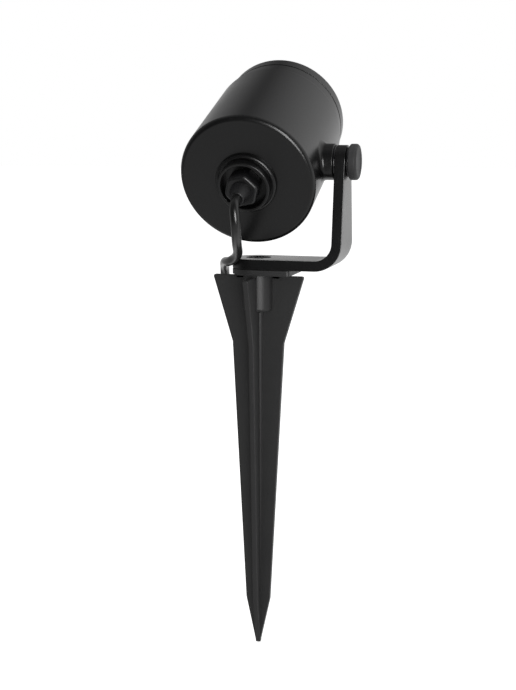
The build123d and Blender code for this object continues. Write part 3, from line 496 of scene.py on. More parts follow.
def moulded(name, colour, roughness=0.5, grain=2600.0, depth=0.00004, ior=1.42):
    """Moulded plastic with a fine grain from the tool and slight rubbing marks."""
    recipe = Recipe(name)
    texture = recipe.noise(grain, 3.0)
    pits = recipe.cells(grain * 0.6).clipped(0.0, 0.55)
    drift = recipe.noise(60, 2.0)
    along = recipe.stretched((1.0, 1.0, 0.25))
    rub = recipe.noise(260, 6.0, along, roughness=0.65).clipped(0.60, 0.82)
    base = recipe.blend(drift, tone(0.85, colour), tone(1.2, colour))
    base = recipe.blend(rub * 0.16, base, tone(0.11))
    bump = recipe.raised(texture * 0.6 + pits * 0.4, depth, strength=0.55)
    return recipe.surface(
        {
            "Base Color": base,
            "Roughness": roughness + (texture - 0.5) * 0.12 + rub * 0.08,
            "IOR": ior,
            "Normal": bump,
        }
    )


def smooth_plastic(name, colour, roughness=0.3, ior=1.46):
    """Plain smooth plastic or insulation with faint unevenness."""
    recipe = Recipe(name)
    drift = recipe.noise(180, 2.0)
    fine = recipe.noise(3500, 1.0)
    base = recipe.blend(drift, tone(0.9, colour), tone(1.1, colour))
    bump = recipe.raised(fine, depth=0.00001, strength=0.25)
    uneven = roughness + (drift - 0.5) * 0.08
    return recipe.surface({"Base Color": base, "Roughness": uneven, "IOR": ior, "Normal": bump})


def rubber(name, colour, roughness=0.48):
    """Soft rubber with a dry bloom."""
    recipe = Recipe(name)
    bloom = recipe.noise(420, 4.0).clipped(0.45, 0.8)
    fine = recipe.noise(4200, 2.0)
    base = recipe.blend(bloom * 0.5, tone(1.0, colour), tone(0.045))
    bump = recipe.raised(fine, depth=0.00003, strength=0.4)
    dry = roughness + bloom * 0.12
    return recipe.surface({"Base Color": base, "Roughness": dry, "IOR": 1.45, "Normal": bump})


def lead_sheath(name, colour):
    """Extruded sheath: fine drawing lines along the lead and small scuffs."""
    recipe = Recipe(name)
    lines = recipe.noise(1400, 2.0, recipe.stretched((1.0, 1.0, 0.12)))
    scuff = recipe.noise(500, 5.0, roughness=0.6).clipped(0.62, 0.85)
    base = recipe.blend(scuff * 0.15, tone(1.0, colour), tone(0.05))
    bump = recipe.raised(lines, depth=0.00002, strength=0.25)
    worn = 0.30 + scuff * 0.2
    return recipe.surface({"Base Color": base, "Roughness": worn, "IOR": 1.5, "Normal": bump})


def turned_metal(name, colour, roughness=0.28):
    """Machined metal with fine tool lines."""
    recipe = Recipe(name)
    lines = recipe.noise(3000, 2.0, recipe.stretched((0.12, 0.12, 1.0)))
    drift = recipe.noise(200, 3.0)
    base = recipe.blend(drift, tone(0.85, colour), tone(1.08, colour))
    bump = recipe.raised(lines, depth=0.00001, strength=0.3)
    lined = roughness + (lines - 0.5) * 0.14
    return recipe.surface({"Base Color": base, "Metallic": 1.0, "Roughness": lined, "Normal": bump})


def clear_glass(name, ior=1.5, roughness=0.0, tint=(0.97, 0.985, 0.98)):
    """Clear glass or acrylic."""
    recipe = Recipe(name)
    film = recipe.noise(150, 4.0).clipped(0.5, 0.9)
    sockets = {
        "Base Color": tone(1.0, tint),
        "Transmission Weight": 1.0,
        "Roughness": roughness + film * 0.015,
        "IOR": ior,
    }
    return recipe.surface(sockets)


def solder_mask(name, colour, copper):
    """Circuit board lacquer over faint copper tracks."""
    recipe = Recipe(name)
    tracks = recipe.cells(420, feature="DISTANCE_TO_EDGE").clipped(0.05, 0.09)
    base = recipe.blend(tracks, tone(1.0, copper), tone(1.0, colour))
    bump = recipe.raised(tracks, depth=0.00003, strength=0.4)
    return recipe.surface({"Base Color": base, "Roughness": 0.35, "Normal": bump})


def winding(name, colour):
    """Enamelled copper wire wound round a ring; painted shade darkens the grooves between the turns."""
    recipe = Recipe(name)
    turns_and_groove_shade = (recipe.noise(60, 0.0) * 4.0 + recipe.axis("X") * 2600).sine()
    # Colour runs from dark in the grooves to full on the crests of the turns: painted shade between the
    # wires.
    base = recipe.blend(turns_and_groove_shade.clipped(-1.0, 1.0), tone(0.45, colour), tone(1.0, colour))
    bump = recipe.raised(turns_and_groove_shade, depth=0.0001, strength=0.6)
    return recipe.surface({"Base Color": base, "Metallic": 0.8, "Roughness": 0.32, "Normal": bump})


def phosphor(name):
    """The yellow disc of the light source, with faint darker dies under it."""
    recipe = Recipe(name)
    dies = recipe.cells(900).clipped(0.15, 0.45)
    base = recipe.blend(dies, tone(0.85, (1.0, 0.68, 0.10)), tone(0.9, (1.0, 0.78, 0.22)))
    sockets = {"Base Color": base, "Roughness": 0.35, "Coat Weight": 0.4, "Coat Roughness": 0.15}
    return recipe.surface(sockets)


def make_finishes():
    """Every finish by name."""
    finish = settings().finish
    knob = (0.046, 0.046, 0.047)
    gland = (0.011, 0.011, 0.012)
    return {
        "head_paint": powder_coat("head_powder_coat", finish.paint),
        "bracket_paint": powder_coat("bracket_powder_coat", finish.paint, 0.28, 1.48),
        "spike_plastic": moulded("spike_moulding", finish.plastic, 0.50),
        "knob_plastic": moulded("knob_moulding", knob, 0.62, 3600.0, 0.00002, 1.36),
        "gland_plastic": moulded("gland_moulding", gland, 0.36, 3600.0, 0.00002),
        "plug_plastic": moulded("plug_moulding", (0.014, 0.014, 0.014), 0.45),
        "nylon_black": smooth_plastic("black_nylon", (0.014, 0.014, 0.015), 0.42),
        "washer_plastic": smooth_plastic("washer_nylon", (0.010, 0.010, 0.011), 0.16, 1.52),
        "cord_rubber": lead_sheath("lead_sheath", finish.sheath),
        "seal_rubber": rubber("seal_rubber", (0.013, 0.013, 0.013)),
        "tie_rubber": rubber("tie_rubber", (0.020, 0.020, 0.021), 0.55),
        "foil_grey": rubber("thermal_foil", (0.42, 0.43, 0.45)),
        "black_steel": turned_metal("black_steel", (0.035, 0.035, 0.037), 0.40),
        "steel": turned_metal("zinc_steel", (0.60, 0.60, 0.61)),
        "brass": turned_metal("brass", (0.72, 0.54, 0.26)),
        "aluminium": turned_metal("aluminium", (0.80, 0.80, 0.81), 0.34),
        "pin_metal": turned_metal("nickel_pins", (0.74, 0.72, 0.68), 0.2),
        "capacitor_can": smooth_plastic("capacitor_sleeve", (0.03, 0.03, 0.06)),
        "chip_black": smooth_plastic("chip_epoxy", (0.02, 0.02, 0.02), 0.5),
        "terminal_green": smooth_plastic("terminal_plastic", (0.05, 0.30, 0.12)),
        "core_red": smooth_plastic("core_insulation", (0.45, 0.03, 0.02)),
        "wire_white": smooth_plastic("wire_insulation", (0.75, 0.75, 0.72)),
        "led_white": smooth_plastic("emitter_base", (0.78, 0.78, 0.74), 0.35),
        "led_phosphor": phosphor("emitter_phosphor"),
        "board_white": solder_mask("light_board", (0.80, 0.81, 0.80), (0.74, 0.75, 0.73)),
        "board_green": solder_mask("driver_board", (0.02, 0.14, 0.06), (0.05, 0.22, 0.09)),
        "copper_coil": winding("copper_winding", (0.62, 0.30, 0.14)),
        "front_glass": clear_glass("front_glass"),
        "lens_clear": clear_glass("lens_acrylic", 1.49, 0.02, (0.98, 0.985, 0.99)),
    }


# ---------------------------------------------------------------- pieces


def turned(name, body, finish, place, outline, rings, node):
    """A turned piece: an outline spun about local Z, with some of its rings of edges rounded."""
    mesh = bmesh.new()
    spin_outline(mesh, outline)
    for radius, height, width in rings:
        bevel_ring(mesh, radius, height, width)
    return finish_piece(mesh, name, body, finish, place, node)


# ----------------------------------------------------------------- spike

FIN_OUTLINE = ((21.3, 0.0), (12.07, -30.6), (5.75, -153.8), (0.9, -176.3))
FIN_TOP_ROUND = 1.2
STEM_WIDTH = 20.1
STEM_HEIGHT = 2.2
SCREW_BOSS_RADIUS = 7.0
SCREW_BOSS_END = -16.2
SCREW_BOSS_ROUND = 1.6
PAD_END = 17.2
PAD_HALF = 11.65
PAD_CORNER = 1.4
PAD_LOW = 0.9
PAD_THICKNESS = 2.6
PAD_EDGE = 0.3


def fin_pair(thickness, edge_round):
    """Two opposite fins as one plate that lies flat, with its top along X."""
    mesh = bmesh.new()
    right = [mesh.verts.new((wide, height, 0)) for wide, height in FIN_OUTLINE]
    left = [mesh.verts.new((-wide, height, 0)) for wide, height in reversed(FIN_OUTLINE)]
    mesh.faces.new(right + left)
    thicken(mesh, thickness)
    corners = [edge for edge in upright_edges(mesh) if all(vert.co.y > -NEAR for vert in edge.verts)]
    bevel_edges(mesh, corners, FIN_TOP_ROUND, 5)
    bevel_all(mesh, edge_round)
    return mesh


def spike_core():
    """The screw boss at the top, and the core where the fins meet below it."""
    outline = [(0, 1.0), (SCREW_BOSS_RADIUS, 1.0), (SCREW_BOSS_RADIUS, SCREW_BOSS_END)]
    outline += [(2.9, SCREW_BOSS_END), (1.6, -153.8), (0.9, -172.0), (0, -172.0)]
    mesh = bmesh.new()
    spin_outline(mesh, outline, SMALL_TURN_STEPS)
    bevel_ring(mesh, SCREW_BOSS_RADIUS, SCREW_BOSS_END, SCREW_BOSS_ROUND, 4)
    return mesh


def spike_pad():
    """The flat pad that carries the bracket, round at its left end."""
    x = PAD_END - PAD_CORNER
    y = PAD_HALF - PAD_CORNER
    mesh = bmesh.new()
    left = arc_verts(mesh, (0, 0, 0), (0, PAD_HALF, 0), math.pi, 32)
    low = arc_verts(mesh, (x, -y, 0), (x, -PAD_HALF, 0), math.pi / 2, 5)
    high = arc_verts(mesh, (x, y, 0), (PAD_END, y, 0), math.pi / 2, 5)
    mesh.faces.new(left + low + high)
    thicken(mesh, PAD_THICKNESS)
    bevel_all(mesh, PAD_EDGE)
    bmesh.ops.translate(mesh, vec=(0, 0, PAD_LOW), verts=mesh.verts)
    return mesh


def make_spike(finish):
    """Crossed fins, core and screw boss in one moulding, with the pad on top."""
    sizes = settings().spike
    mesh = bmesh.new()
    for quarter in (0, math.pi / 2):
        turn = Matrix.Rotation(quarter, 4, "Z")
        stand = turn @ Matrix.Rotation(math.pi / 2, 4, "X")
        centred = Matrix.Translation((0, 0, -sizes.fin / 2))
        join_copy(mesh, fin_pair(sizes.fin, sizes.edge), stand @ centred)
        stem = bmesh.new()
        block(stem, (STEM_WIDTH, sizes.fin, STEM_HEIGHT))
        join_copy(mesh, stem, turn)
    join_copy(mesh, spike_core())
    join_copy(mesh, spike_pad())
    return finish_piece(mesh, "spike_moulding", GROUND, finish, UPRIGHT, "spike")


# -------------------------------------------------------------- bracket

FOOT_LOW = 3.6
BEND_INNER = 7.7
BEND_START = 28.1
BAR_HALF = 11.65
ARM_ROUND = 7.25
FOOT_HOLE = 3.03
ARM_HOLE = 3.6
SINK_WIDTH = 2.9
BEND_STEPS = 14
RIM_ANGLE = math.radians(50)


def flat_bar(thick, pivot, taper):
    """The bar before bending: its outline with the foot hole and the arm hole."""
    slope = math.asin((BAR_HALF - ARM_ROUND) / (pivot - taper))
    mesh = bmesh.new()
    left = arc_verts(mesh, (0, 0, 0), (0, BAR_HALF, 0), math.pi, 40)
    start = (pivot + ARM_ROUND * math.sin(slope), -ARM_ROUND * math.cos(slope), 0)
    lower = mesh.verts.new((taper, -BAR_HALF, 0))
    upper = mesh.verts.new((taper, BAR_HALF, 0))
    right = arc_verts(mesh, (pivot, 0, 0), start, math.pi - 2 * slope, 32)
    edges = close_loop(mesh, left + [lower] + right + [upper])
    for centre, radius in ((0, FOOT_HOLE), (pivot, ARM_HOLE)):
        circle = bmesh.ops.create_circle(mesh, cap_ends=False, radius=radius, segments=48)["verts"]
        bmesh.ops.translate(mesh, vec=(centre, 0, 0), verts=circle)
        edges += list({edge for vert in circle for edge in vert.link_edges})
    bmesh.ops.triangle_fill(mesh, edges=edges, use_beauty=True, use_dissolve=False)
    for step in range(BEND_STEPS + 1):
        cut = BEND_START + (taper - BEND_START) * step / BEND_STEPS
        whole = list(mesh.verts) + list(mesh.edges) + list(mesh.faces)
        bmesh.ops.bisect_plane(
            mesh, geom=whole, dist=MERGE_DISTANCE, plane_co=(cut, 0, 0), plane_no=(1, 0, 0)
        )
    thicken(mesh, thick)
    return mesh


def at_foot_hole(edge, height=None):
    """True for an edge of the foot hole, at one height or at either end."""
    for vert in edge.verts:
        if abs(math.hypot(vert.co.x, vert.co.y) - FOOT_HOLE) > NEAR:
            return False
        if height is not None and abs(vert.co.z - height) > NEAR:
            return False
    return True


def make_bracket(finish):
    """A flat bar, cut to shape, drilled, countersunk and bent up at its right end."""
    sizes = settings().bracket
    thick = sizes.thickness
    neutral = BEND_INNER + thick / 2
    taper = BEND_START + neutral * math.pi / 2
    centre_z = thick + BEND_INNER
    mesh = flat_bar(thick, taper + PIVOT_HEIGHT - FOOT_LOW - centre_z, taper)
    rim = [edge for edge in mesh.edges if is_sharp(edge, RIM_ANGLE)]
    bevel_edges(mesh, [edge for edge in rim if not at_foot_hole(edge)], sizes.edge, 2)
    rim = [edge for edge in mesh.edges if is_sharp(edge)]
    bevel_edges(mesh, [edge for edge in rim if at_foot_hole(edge, thick)], SINK_WIDTH, 1)
    for vert in mesh.verts:
        x, _, z = vert.co
        if x > BEND_START:
            angle = min((x - BEND_START) / neutral, math.pi / 2)
            reach = centre_z - z
            vert.co.x = BEND_START + reach * math.sin(angle)
            vert.co.z = centre_z - reach * math.cos(angle) + max(x - taper, 0)
    bmesh.ops.translate(mesh, vec=(0, 0, FOOT_LOW), verts=mesh.verts)
    return finish_piece(mesh, "bracket_bar", BRACKET, finish, UPRIGHT, "bracket")


# ------------------------------------------------------- washers and knob

BOSS_END = 34.9
WASHER_BORE = 2.55
KNOB_START = 41.35
KNOB_END = 45.1
KNOB_RADIUS = 7.75
DISH_RADIUS = 5.2


def washer(name, body, finish, radius, low, high, edge_round, node):
    """A flat washer about the pivot, with both rims rounded."""
    outline = [(WASHER_BORE, low), (radius, low), (radius, high), (WASHER_BORE, high)]
    rings = ((radius, low, edge_round), (radius, high, edge_round))
    turned(name, body, finish, PIVOT_FRAME, outline, rings, node)


def make_washers(finish):
    """The washers each side of the arm."""
    washer("head_washer", HEAD, finish, 7.3, BOSS_END, 35.75, 0.28, "friction_washer")
    washer("knob_side_washer", KNOB, finish, 6.4, 40.35, KNOB_START, 0.32, "knob_washer")


def make_knob(finish):
    """Round thumb knob with a shallow dished face."""
    outline = [(0, KNOB_START), (KNOB_RADIUS, KNOB_START), (KNOB_RADIUS, KNOB_END)]
    outline += [(DISH_RADIUS, KNOB_END), (4.7, 44.85), (0, 44.75)]
    rings = ((KNOB_RADIUS, KNOB_START, 0.7), (KNOB_RADIUS, KNOB_END, 1.2), (DISH_RADIUS, KNOB_END, 0.2))
    turned("thumb_knob_cap", KNOB, finish, PIVOT_FRAME, outline, rings, "thumb_knob")


# ------------------------------------------------------------------ head

BOSS_FRAME = frame_at(PIVOT, HEAD_AXIS, (1, 0, 0))
BOSS_RADIUS = 7.85
BOSS_ROOT = 27.2
STUD_HOLE = 3.2
STUD_HOLE_END = 28.6
FLARE_STEPS = 5
REAR_WALL = 5
GLAND_HOLE = 8
SHOULDER = 33.9
BODY_END = 54.8
BODY_END_SLOPE = 1.5
BODY_END_DROP = 0.55
NECK_RADIUS = 28.6
NECK_END = 61.9
SKIRT_RADIUS = 26.9
GROOVE_RADIUS = 25.5
BEZEL_START = 62.5
HEAD_LENGTH = 68.6
LIP_RADIUS = 24.2
PANE_RADIUS = 25.6
PANE_START = 63.3
PANE_END = 66.3
LENS_RADIUS = 22
LENS_FRONT = 59.4
LENS_STEPS = 7
COLLAR_RADIUS = 13.5
COLLAR_INNER = 12.2
COLLAR_END = -2
GUARD_RADIUS = 11.5
GUARD_INNER = 10
GUARD_END = -5.4
NUT_FLATS = 13.6
NUT_HEIGHT = 7.7
NUT_START = -9
NUT_TURN = math.radians(-42.4)
NUT_CORNER_ROUND = 1.5
NUT_END_ROUND = 1.1
NOSE_STEP = (4.5, -10.6)
NOSE_TIP = (2.9, -15.4)
NOSE_BORE = 2.15


def side_boss(radius, flare):
    """The round boss on the housing's right side, with a fillet that follows the housing."""
    outline = [(0, BOSS_ROOT), (BOSS_RADIUS + flare - 0.1, BOSS_ROOT)]
    for step in range(FLARE_STEPS + 1):
        angle = math.pi / 2 * step / FLARE_STEPS
        away = BOSS_RADIUS + flare * (1 - math.sin(angle))
        outline.append((away, radius + flare * (1 - math.cos(angle))))
    outline += [(BOSS_RADIUS, BOSS_END), (STUD_HOLE, BOSS_END), (STUD_HOLE, STUD_HOLE_END)]
    outline.append((0, STUD_HOLE_END))
    mesh = bmesh.new()
    spin_outline(mesh, outline, SMALL_TURN_STEPS)
    bevel_ring(mesh, BOSS_RADIUS, BOSS_END, 0.45)
    for vert in mesh.verts:
        if radius - 0.1 < vert.co.z < radius + flare + 0.1:
            vert.co.z += math.sqrt(radius**2 - vert.co.y**2) - radius
    return mesh


def make_housing(finish):
    """Turned housing with its rear edge rounded, a stepped neck and the side boss."""
    sizes = settings().head
    radius = sizes.radius
    end_radius = radius - BODY_END_DROP
    outline = [
        (GLAND_HOLE, 0),
        (radius, 0),
        (radius, BODY_END - BODY_END_SLOPE),
        (end_radius, BODY_END),
        (NECK_RADIUS, BODY_END),
        (NECK_RADIUS, NECK_END),
        (27, NECK_END),
        (27, SHOULDER),
        (GROOVE_RADIUS, SHOULDER),
        (GROOVE_RADIUS, REAR_WALL),
        (GLAND_HOLE, REAR_WALL),
    ]
    mesh = bmesh.new()
    spin_outline(mesh, outline)
    bevel_ring(mesh, radius, 0, sizes.edge, 7)
    bevel_ring(mesh, end_radius, BODY_END, 0.2)
    bevel_ring(mesh, NECK_RADIUS, NECK_END, 0.25, 2)
    join_copy(mesh, side_boss(radius, sizes.boss_flare), HEAD_FRAME.inverted() @ BOSS_FRAME)
    return finish_piece(mesh, "housing_shell", HEAD, finish, HEAD_FRAME, "housing")


def make_front_ring(finish):
    """The front ring: lip, outer wall and the grooved skirt inside the housing."""
    outline = [
        (24.4, 55.9),
        (SKIRT_RADIUS, 55.9),
        (SKIRT_RADIUS, 59.15),
        (GROOVE_RADIUS, 59.15),
        (GROOVE_RADIUS, 60.65),
        (SKIRT_RADIUS, 60.65),
        (SKIRT_RADIUS, BEZEL_START),
        (NECK_RADIUS, BEZEL_START),
        (NECK_RADIUS, HEAD_LENGTH),
        (LIP_RADIUS, HEAD_LENGTH),
        (LIP_RADIUS, 67.1),
        (25.7, 67.1),
        (25.7, 63.1),
        (24.4, 63.1),
    ]
    rings = (
        (NECK_RADIUS, HEAD_LENGTH, 0.8),
        (LIP_RADIUS, HEAD_LENGTH, 0.5),
        (NECK_RADIUS, BEZEL_START, 0.25),
    )
    turned("front_ring", HEAD, finish, HEAD_FRAME, outline, rings, "front_bezel")


def make_pane(finish):
    """The front glass."""
    outline = [(0, PANE_START), (PANE_RADIUS, PANE_START), (PANE_RADIUS, PANE_END), (0, PANE_END)]
    rings = ((PANE_RADIUS, PANE_START, 0.3), (PANE_RADIUS, PANE_END, 0.3))
    turned("front_pane", HEAD, finish, HEAD_FRAME, outline, rings, "front_glass")


def make_lens(finish):
    """The lens: a flared cone with a pocket for the light source and a flat front."""
    outline = [(0, 49.5), (2.4, 49.1), (4.2, 48.3), (5.0, 48.1), (5.0, 42.4)]
    for step in range(LENS_STEPS + 1):
        share = step / LENS_STEPS
        outline.append((6.6 + 14.0 * share**0.72, 42.4 + 15.0 * share**1.25))
    outline += [(LENS_RADIUS, 57.4), (LENS_RADIUS, LENS_FRONT), (0, LENS_FRONT)]
    rings = ((LENS_RADIUS, LENS_FRONT, 0.3),)
    turned("lens_optic", HEAD, finish, HEAD_FRAME, outline, rings, "lens")


def make_collar(finish):
    """Stepped collar and guard ring on the rear face."""
    outline = [
        (5.95, 9.5),
        (7.9, 9.5),
        (7.9, 0),
        (COLLAR_RADIUS, 0),
        (COLLAR_RADIUS, COLLAR_END),
        (COLLAR_INNER, COLLAR_END),
        (COLLAR_INNER, -1.3),
        (GUARD_RADIUS, -1.3),
        (GUARD_RADIUS, GUARD_END),
        (GUARD_INNER, GUARD_END),
        (GUARD_INNER, -1),
        (5.95, -1),
    ]
    rings = (
        (COLLAR_RADIUS, COLLAR_END, 1.1),
        (COLLAR_INNER, COLLAR_END, 0.18),
        (GUARD_RADIUS, GUARD_END, 0.5),
        (GUARD_INNER, GUARD_END, 0.3),
    )
    turned("rear_collar_ring", HEAD, finish, HEAD_FRAME, outline, rings, "rear_collar")


def make_gland_nut(finish):
    """Hexagon nut with soft corners, a round step and a tapered nose with an open mouth."""
    mesh = bmesh.new()
    across = NUT_FLATS / 2 / math.cos(math.pi / 6)
    bmesh.ops.create_circle(mesh, cap_ends=True, radius=across, segments=6)
    thicken(mesh, NUT_HEIGHT)
    bevel_edges(mesh, upright_edges(mesh), NUT_CORNER_ROUND, 5)
    low = [edge for edge in mesh.edges if is_sharp(edge) and all(vert.co.z < 0.1 for vert in edge.verts)]
    bevel_edges(mesh, low, NUT_END_ROUND, 5)
    place = Matrix.Translation((0, 0, NUT_START)) @ Matrix.Rotation(NUT_TURN, 4, "Z")
    bmesh.ops.transform(mesh, matrix=place, verts=mesh.verts)
    nose = bmesh.new()
    outline = [(NOSE_BORE, -8.5), (4.7, -8.5), NOSE_STEP, NOSE_TIP, (NOSE_BORE, NOSE_TIP[1])]
    spin_outline(nose, outline, SMALL_TURN_STEPS)
    bevel_ring(nose, *NOSE_STEP, 0.9)
    bevel_ring(nose, *NOSE_TIP, 0.35)
    join_copy(mesh, nose)
    return finish_piece(mesh, "gland_nut_cap", HEAD, finish, HEAD_FRAME, "gland_nut")


# ------------------------------------------------------------------ lead

CAMERA_SIDE = math.radians(16.4)
HANK_DEPTH = Vector((-math.sin(CAMERA_SIDE), math.cos(CAMERA_SIDE), 0))
HANK_WIDTH = Vector((math.cos(CAMERA_SIDE), math.sin(CAMERA_SIDE), 0))
HANK_STEP = 5.3
HANK_REACH = 12.8 + 1.25 * HANK_STEP
HANK_CENTRE = HANK_DEPTH * (16.4 + HANK_REACH) + Vector((0, 0, -86.5))
HANK_HALF = 40.0
HANK_WAIST = 9.0
HANK_ENTRY = 6.6
RUN_HALF = 29.5
WAIST_HALF = 10.5
LAYER = 2.4
FOLD_STEPS = 4
PLUG_REACH = 23.0
PLUG_START = -28
STRAP_GAP = 2.25
STRAP_WIDTH = 6
STRAP_THICKNESS = 1.0
BUCKLE = (7, 2.0, 8)
SLEEVE_RADIUS = 2.9
SLEEVE_END = 13
SLEEVE_RINGS = 4
PLUG_RADIUS = 4.6
PLUG_END = 33
PLUG_GROOVE = 3.7
PIN_RADIUS = 0.9
PIN_SIDE = 2.2
RIB_START = 14.3
RIB_END = 23.7
NOSE_END = REAR_CENTRE - HEAD_AXIS * 15.7


def hank_point(x, y, layer):
    """A point of the hank's own frame, in the model's millimetres."""
    return HANK_CENTRE + HANK_DEPTH * x + Vector((0, 0, y)) + HANK_WIDTH * layer


def lead_route():
    """Route of the free stretch, from the gland's nose to the hank."""
    return [
        NOSE_END,
        NOSE_END - HEAD_AXIS * 4.4,
        Vector((1.1, -37.2, 25.2)),
        Vector((-0.6, -30.8, 17.0)),
        Vector((-3.9, -17.4, 10.5)),
        Vector((-10.0, -11.3, 6.8)),
        Vector((-15.9, -0.9, 6.0)),
        Vector((-20.8, 15.0, 1.6)),
        Vector((-21.2, 16.5, -14.0)),
        Vector((-13.5, 16.5, -30.9)),
    ]


def hank_run(reach, direction, layer, next_layer):
    """Control points of one run, drawn in at the waist."""
    waist = math.copysign(abs(reach) - HANK_WAIST, reach)
    middle = (layer + next_layer) / 2
    spots = (
        (reach, -RUN_HALF, layer),
        (waist, -WAIST_HALF, middle),
        (waist, WAIST_HALF, middle),
        (reach, RUN_HALF, next_layer),
    )
    return [hank_point(x, direction * y, z) for x, y, z in spots]


def hank_fold(first, second, direction, layer):
    """Control points of one half turn at the hank's end."""
    middle = (first + second) / 2
    radius = (first - second) / 2
    half_step = math.pi / FOLD_STEPS / 2
    out = 1 / math.cos(half_step)
    points = []
    for step in range(FOLD_STEPS):
        angle = half_step + 2 * half_step * step
        x = middle + radius * out * math.cos(angle)
        y = direction * (HANK_HALF + abs(radius) * out * math.sin(angle))
        points.append(hank_point(x, y, layer))
    return points


def hank_route():
    """Control points of the put-away length, from the first run to the plug."""
    outer = HANK_REACH
    reaches = [-outer, outer - HANK_STEP / 2, HANK_STEP - outer, outer - 1.5 * HANK_STEP, HANK_STEP - outer]
    layers = [-LAYER] * 4 + [LAYER] * 2
    points = [hank_point(-outer, HANK_HALF + HANK_ENTRY, -LAYER), hank_point(-outer, HANK_HALF, -LAYER)]
    for index, (reach, following) in enumerate(zip(reaches, reaches[1:] + [PLUG_REACH])):
        direction = 1 if index % 2 else -1
        points += hank_run(reach, direction, layers[index], layers[index + 1])
        points += hank_fold(reach, following, direction, layers[index + 1])
    points.append(hank_point(PLUG_REACH, PLUG_START - 5, LAYER))
    points.append(hank_point(PLUG_REACH, PLUG_START, LAYER))
    return points


def route_curve(points, depth):
    """A smooth curve with those points as its control points, as a mesh."""
    data = bpy.data.curves.new("route", "CURVE")
    data.dimensions = "3D"
    spline = data.splines.new("NURBS")
    spline.points.add(len(points) - 1)
    for mark, point in zip(spline.points, points):
        mark.co = (point.x * MM, point.y * MM, point.z * MM, 1.0)
    spline.order_u = 3
    spline.use_endpoint_u = True
    spline.resolution_u = 9
    data.bevel_depth = depth
    data.bevel_resolution = 7
    data.use_fill_caps = depth > 0
    route = bpy.data.objects.new("route", data)
    bpy.context.scene.collection.objects.link(route)
    bpy.context.view_layer.update()
    mesh = bpy.data.meshes.new_from_object(route)
    bpy.data.objects.remove(route)
    return mesh


def make_lead(finish, tie, plug, pins, sleeve):
    """The lead as one tube, its tie and its plug."""
    sizes = settings().cord
    points = lead_route() + hank_route()
    line = [vert.co.copy() for vert in route_curve(points, 0).vertices]
    mesh = route_curve(points, sizes.diameter / 2)
    mesh.name = "lead"
    mesh.materials.clear()
    mesh.materials.append(finish)
    mesh.shade_smooth()
    lead = bpy.data.objects.new("lead", mesh)
    bpy.context.scene.collection.objects.link(lead)
    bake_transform(lead)
    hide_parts("cord_lead", "cord_hank")
    on_lead = [make_tie(tie)] + make_plug(plug, pins, sleeve)


def make_tie(finish):
    """Rubber strap round the hank's waist, with its buckle."""
    near = HANK_REACH - HANK_WAIST + STRAP_GAP
    far = near - HANK_STEP / 2
    deep = LAYER + STRAP_GAP
    mesh = bmesh.new()
    block(mesh, (near + far, 2 * deep, STRAP_WIDTH))
    bevel_edges(mesh, upright_edges(mesh), 2.1, 5)
    caps = [face for face in mesh.faces if abs(face.normal.z) > 0.9]
    bmesh.ops.delete(mesh, geom=caps, context="FACES_ONLY")
    bmesh.ops.recalc_face_normals(mesh, faces=mesh.faces)
    bmesh.ops.solidify(mesh, geom=mesh.faces, thickness=-STRAP_THICKNESS)
    bevel_all(mesh, 0.22)
    buckle = bmesh.new()
    block(buckle, BUCKLE, (0, -deep - 1.05, 0))
    bevel_all(buckle, 0.4, 3)
    join_copy(mesh, buckle)
    place = frame_at(hank_point((far - near) / 2, 0, 0), HANK_DEPTH, (0, 0, 1))
    return finish_piece(mesh, "tie_strap", BRACKET, finish, place, "hank_tie")


def make_sleeve(finish, place):
    """The plug's flexible sleeve, with its rings."""
    outline = [(0, 0), (SLEEVE_RADIUS, 0)]
    for index in range(SLEEVE_RINGS):
        height = 2.2 + 2.4 * index
        radius = SLEEVE_RADIUS + 0.085 * height
        outline += [(radius, height), (radius - 0.45, height + 0.12), (radius - 0.4, height + 0.88)]
        outline.append((radius + 0.085, height + 1.0))
    outline += [(4.0, SLEEVE_END), (0, SLEEVE_END)]
    return turned("plug_sleeve", BRACKET, finish, place, outline, (), "plug_relief")


def make_shell(finish, place):
    """The plug's body: fluted grip, a groove for the sealing ring and a plain end."""
    heights = (SLEEVE_END, RIB_START, RIB_START + 0.3, RIB_END - 0.3, RIB_END, 28.8)
    outline = [(0, SLEEVE_END)] + [(PLUG_RADIUS, height) for height in heights]
    outline += [(PLUG_GROOVE, 28.8), (PLUG_GROOVE, 30.4), (PLUG_RADIUS, 30.4)]
    outline += [(PLUG_RADIUS, PLUG_END), (0, PLUG_END)]
    mesh = bmesh.new()
    spin_outline(mesh, outline, 80)
    for vert in mesh.verts:
        grip = RIB_START + 0.2 < vert.co.z < RIB_END - 0.2
        if grip and math.hypot(vert.co.x, vert.co.y) > PLUG_GROOVE:
            flute = max(0.0, math.cos(10 * math.atan2(vert.co.y, vert.co.x)))
            shrink = 1 - 0.09 * flute**2
            vert.co.x *= shrink
            vert.co.y *= shrink
    bevel_ring(mesh, PLUG_RADIUS, SLEEVE_END, 0.5)
    bevel_ring(mesh, PLUG_RADIUS, PLUG_END, 0.5)
    return finish_piece(mesh, "plug_shell", BRACKET, finish, place, "plug_body")


def make_pins(finish, place):
    """The plug's two pins, with rounded tips."""
    outline = [(0, 32.2), (PIN_RADIUS, 32.2), (PIN_RADIUS, 39.9), (0.75, 40.3), (0.4, 40.5), (0, 40.5)]
    mesh = bmesh.new()
    for side in (-PIN_SIDE, PIN_SIDE):
        pin = bmesh.new()
        spin_outline(pin, outline, 24)
        join_copy(mesh, pin, Matrix.Translation((side, 0, 0)))
    return finish_piece(mesh, "plug_contacts", BRACKET, finish, place, "plug_pins")


def make_plug(plastic, metal, rubber_finish):
    """Small two-pin plug in three pieces, and the sealing ring that keeps its own solid."""
    place = frame_at(hank_point(PLUG_REACH, PLUG_START, LAYER), HANK_WIDTH, (0, 0, 1))
    sleeve = make_sleeve(rubber_finish, place)
    shell = make_shell(plastic, place)
    return [sleeve, shell, make_pins(metal, place), frame["nodes"]["plug_seal"]]


# ----------------------------------------------------------------- stage

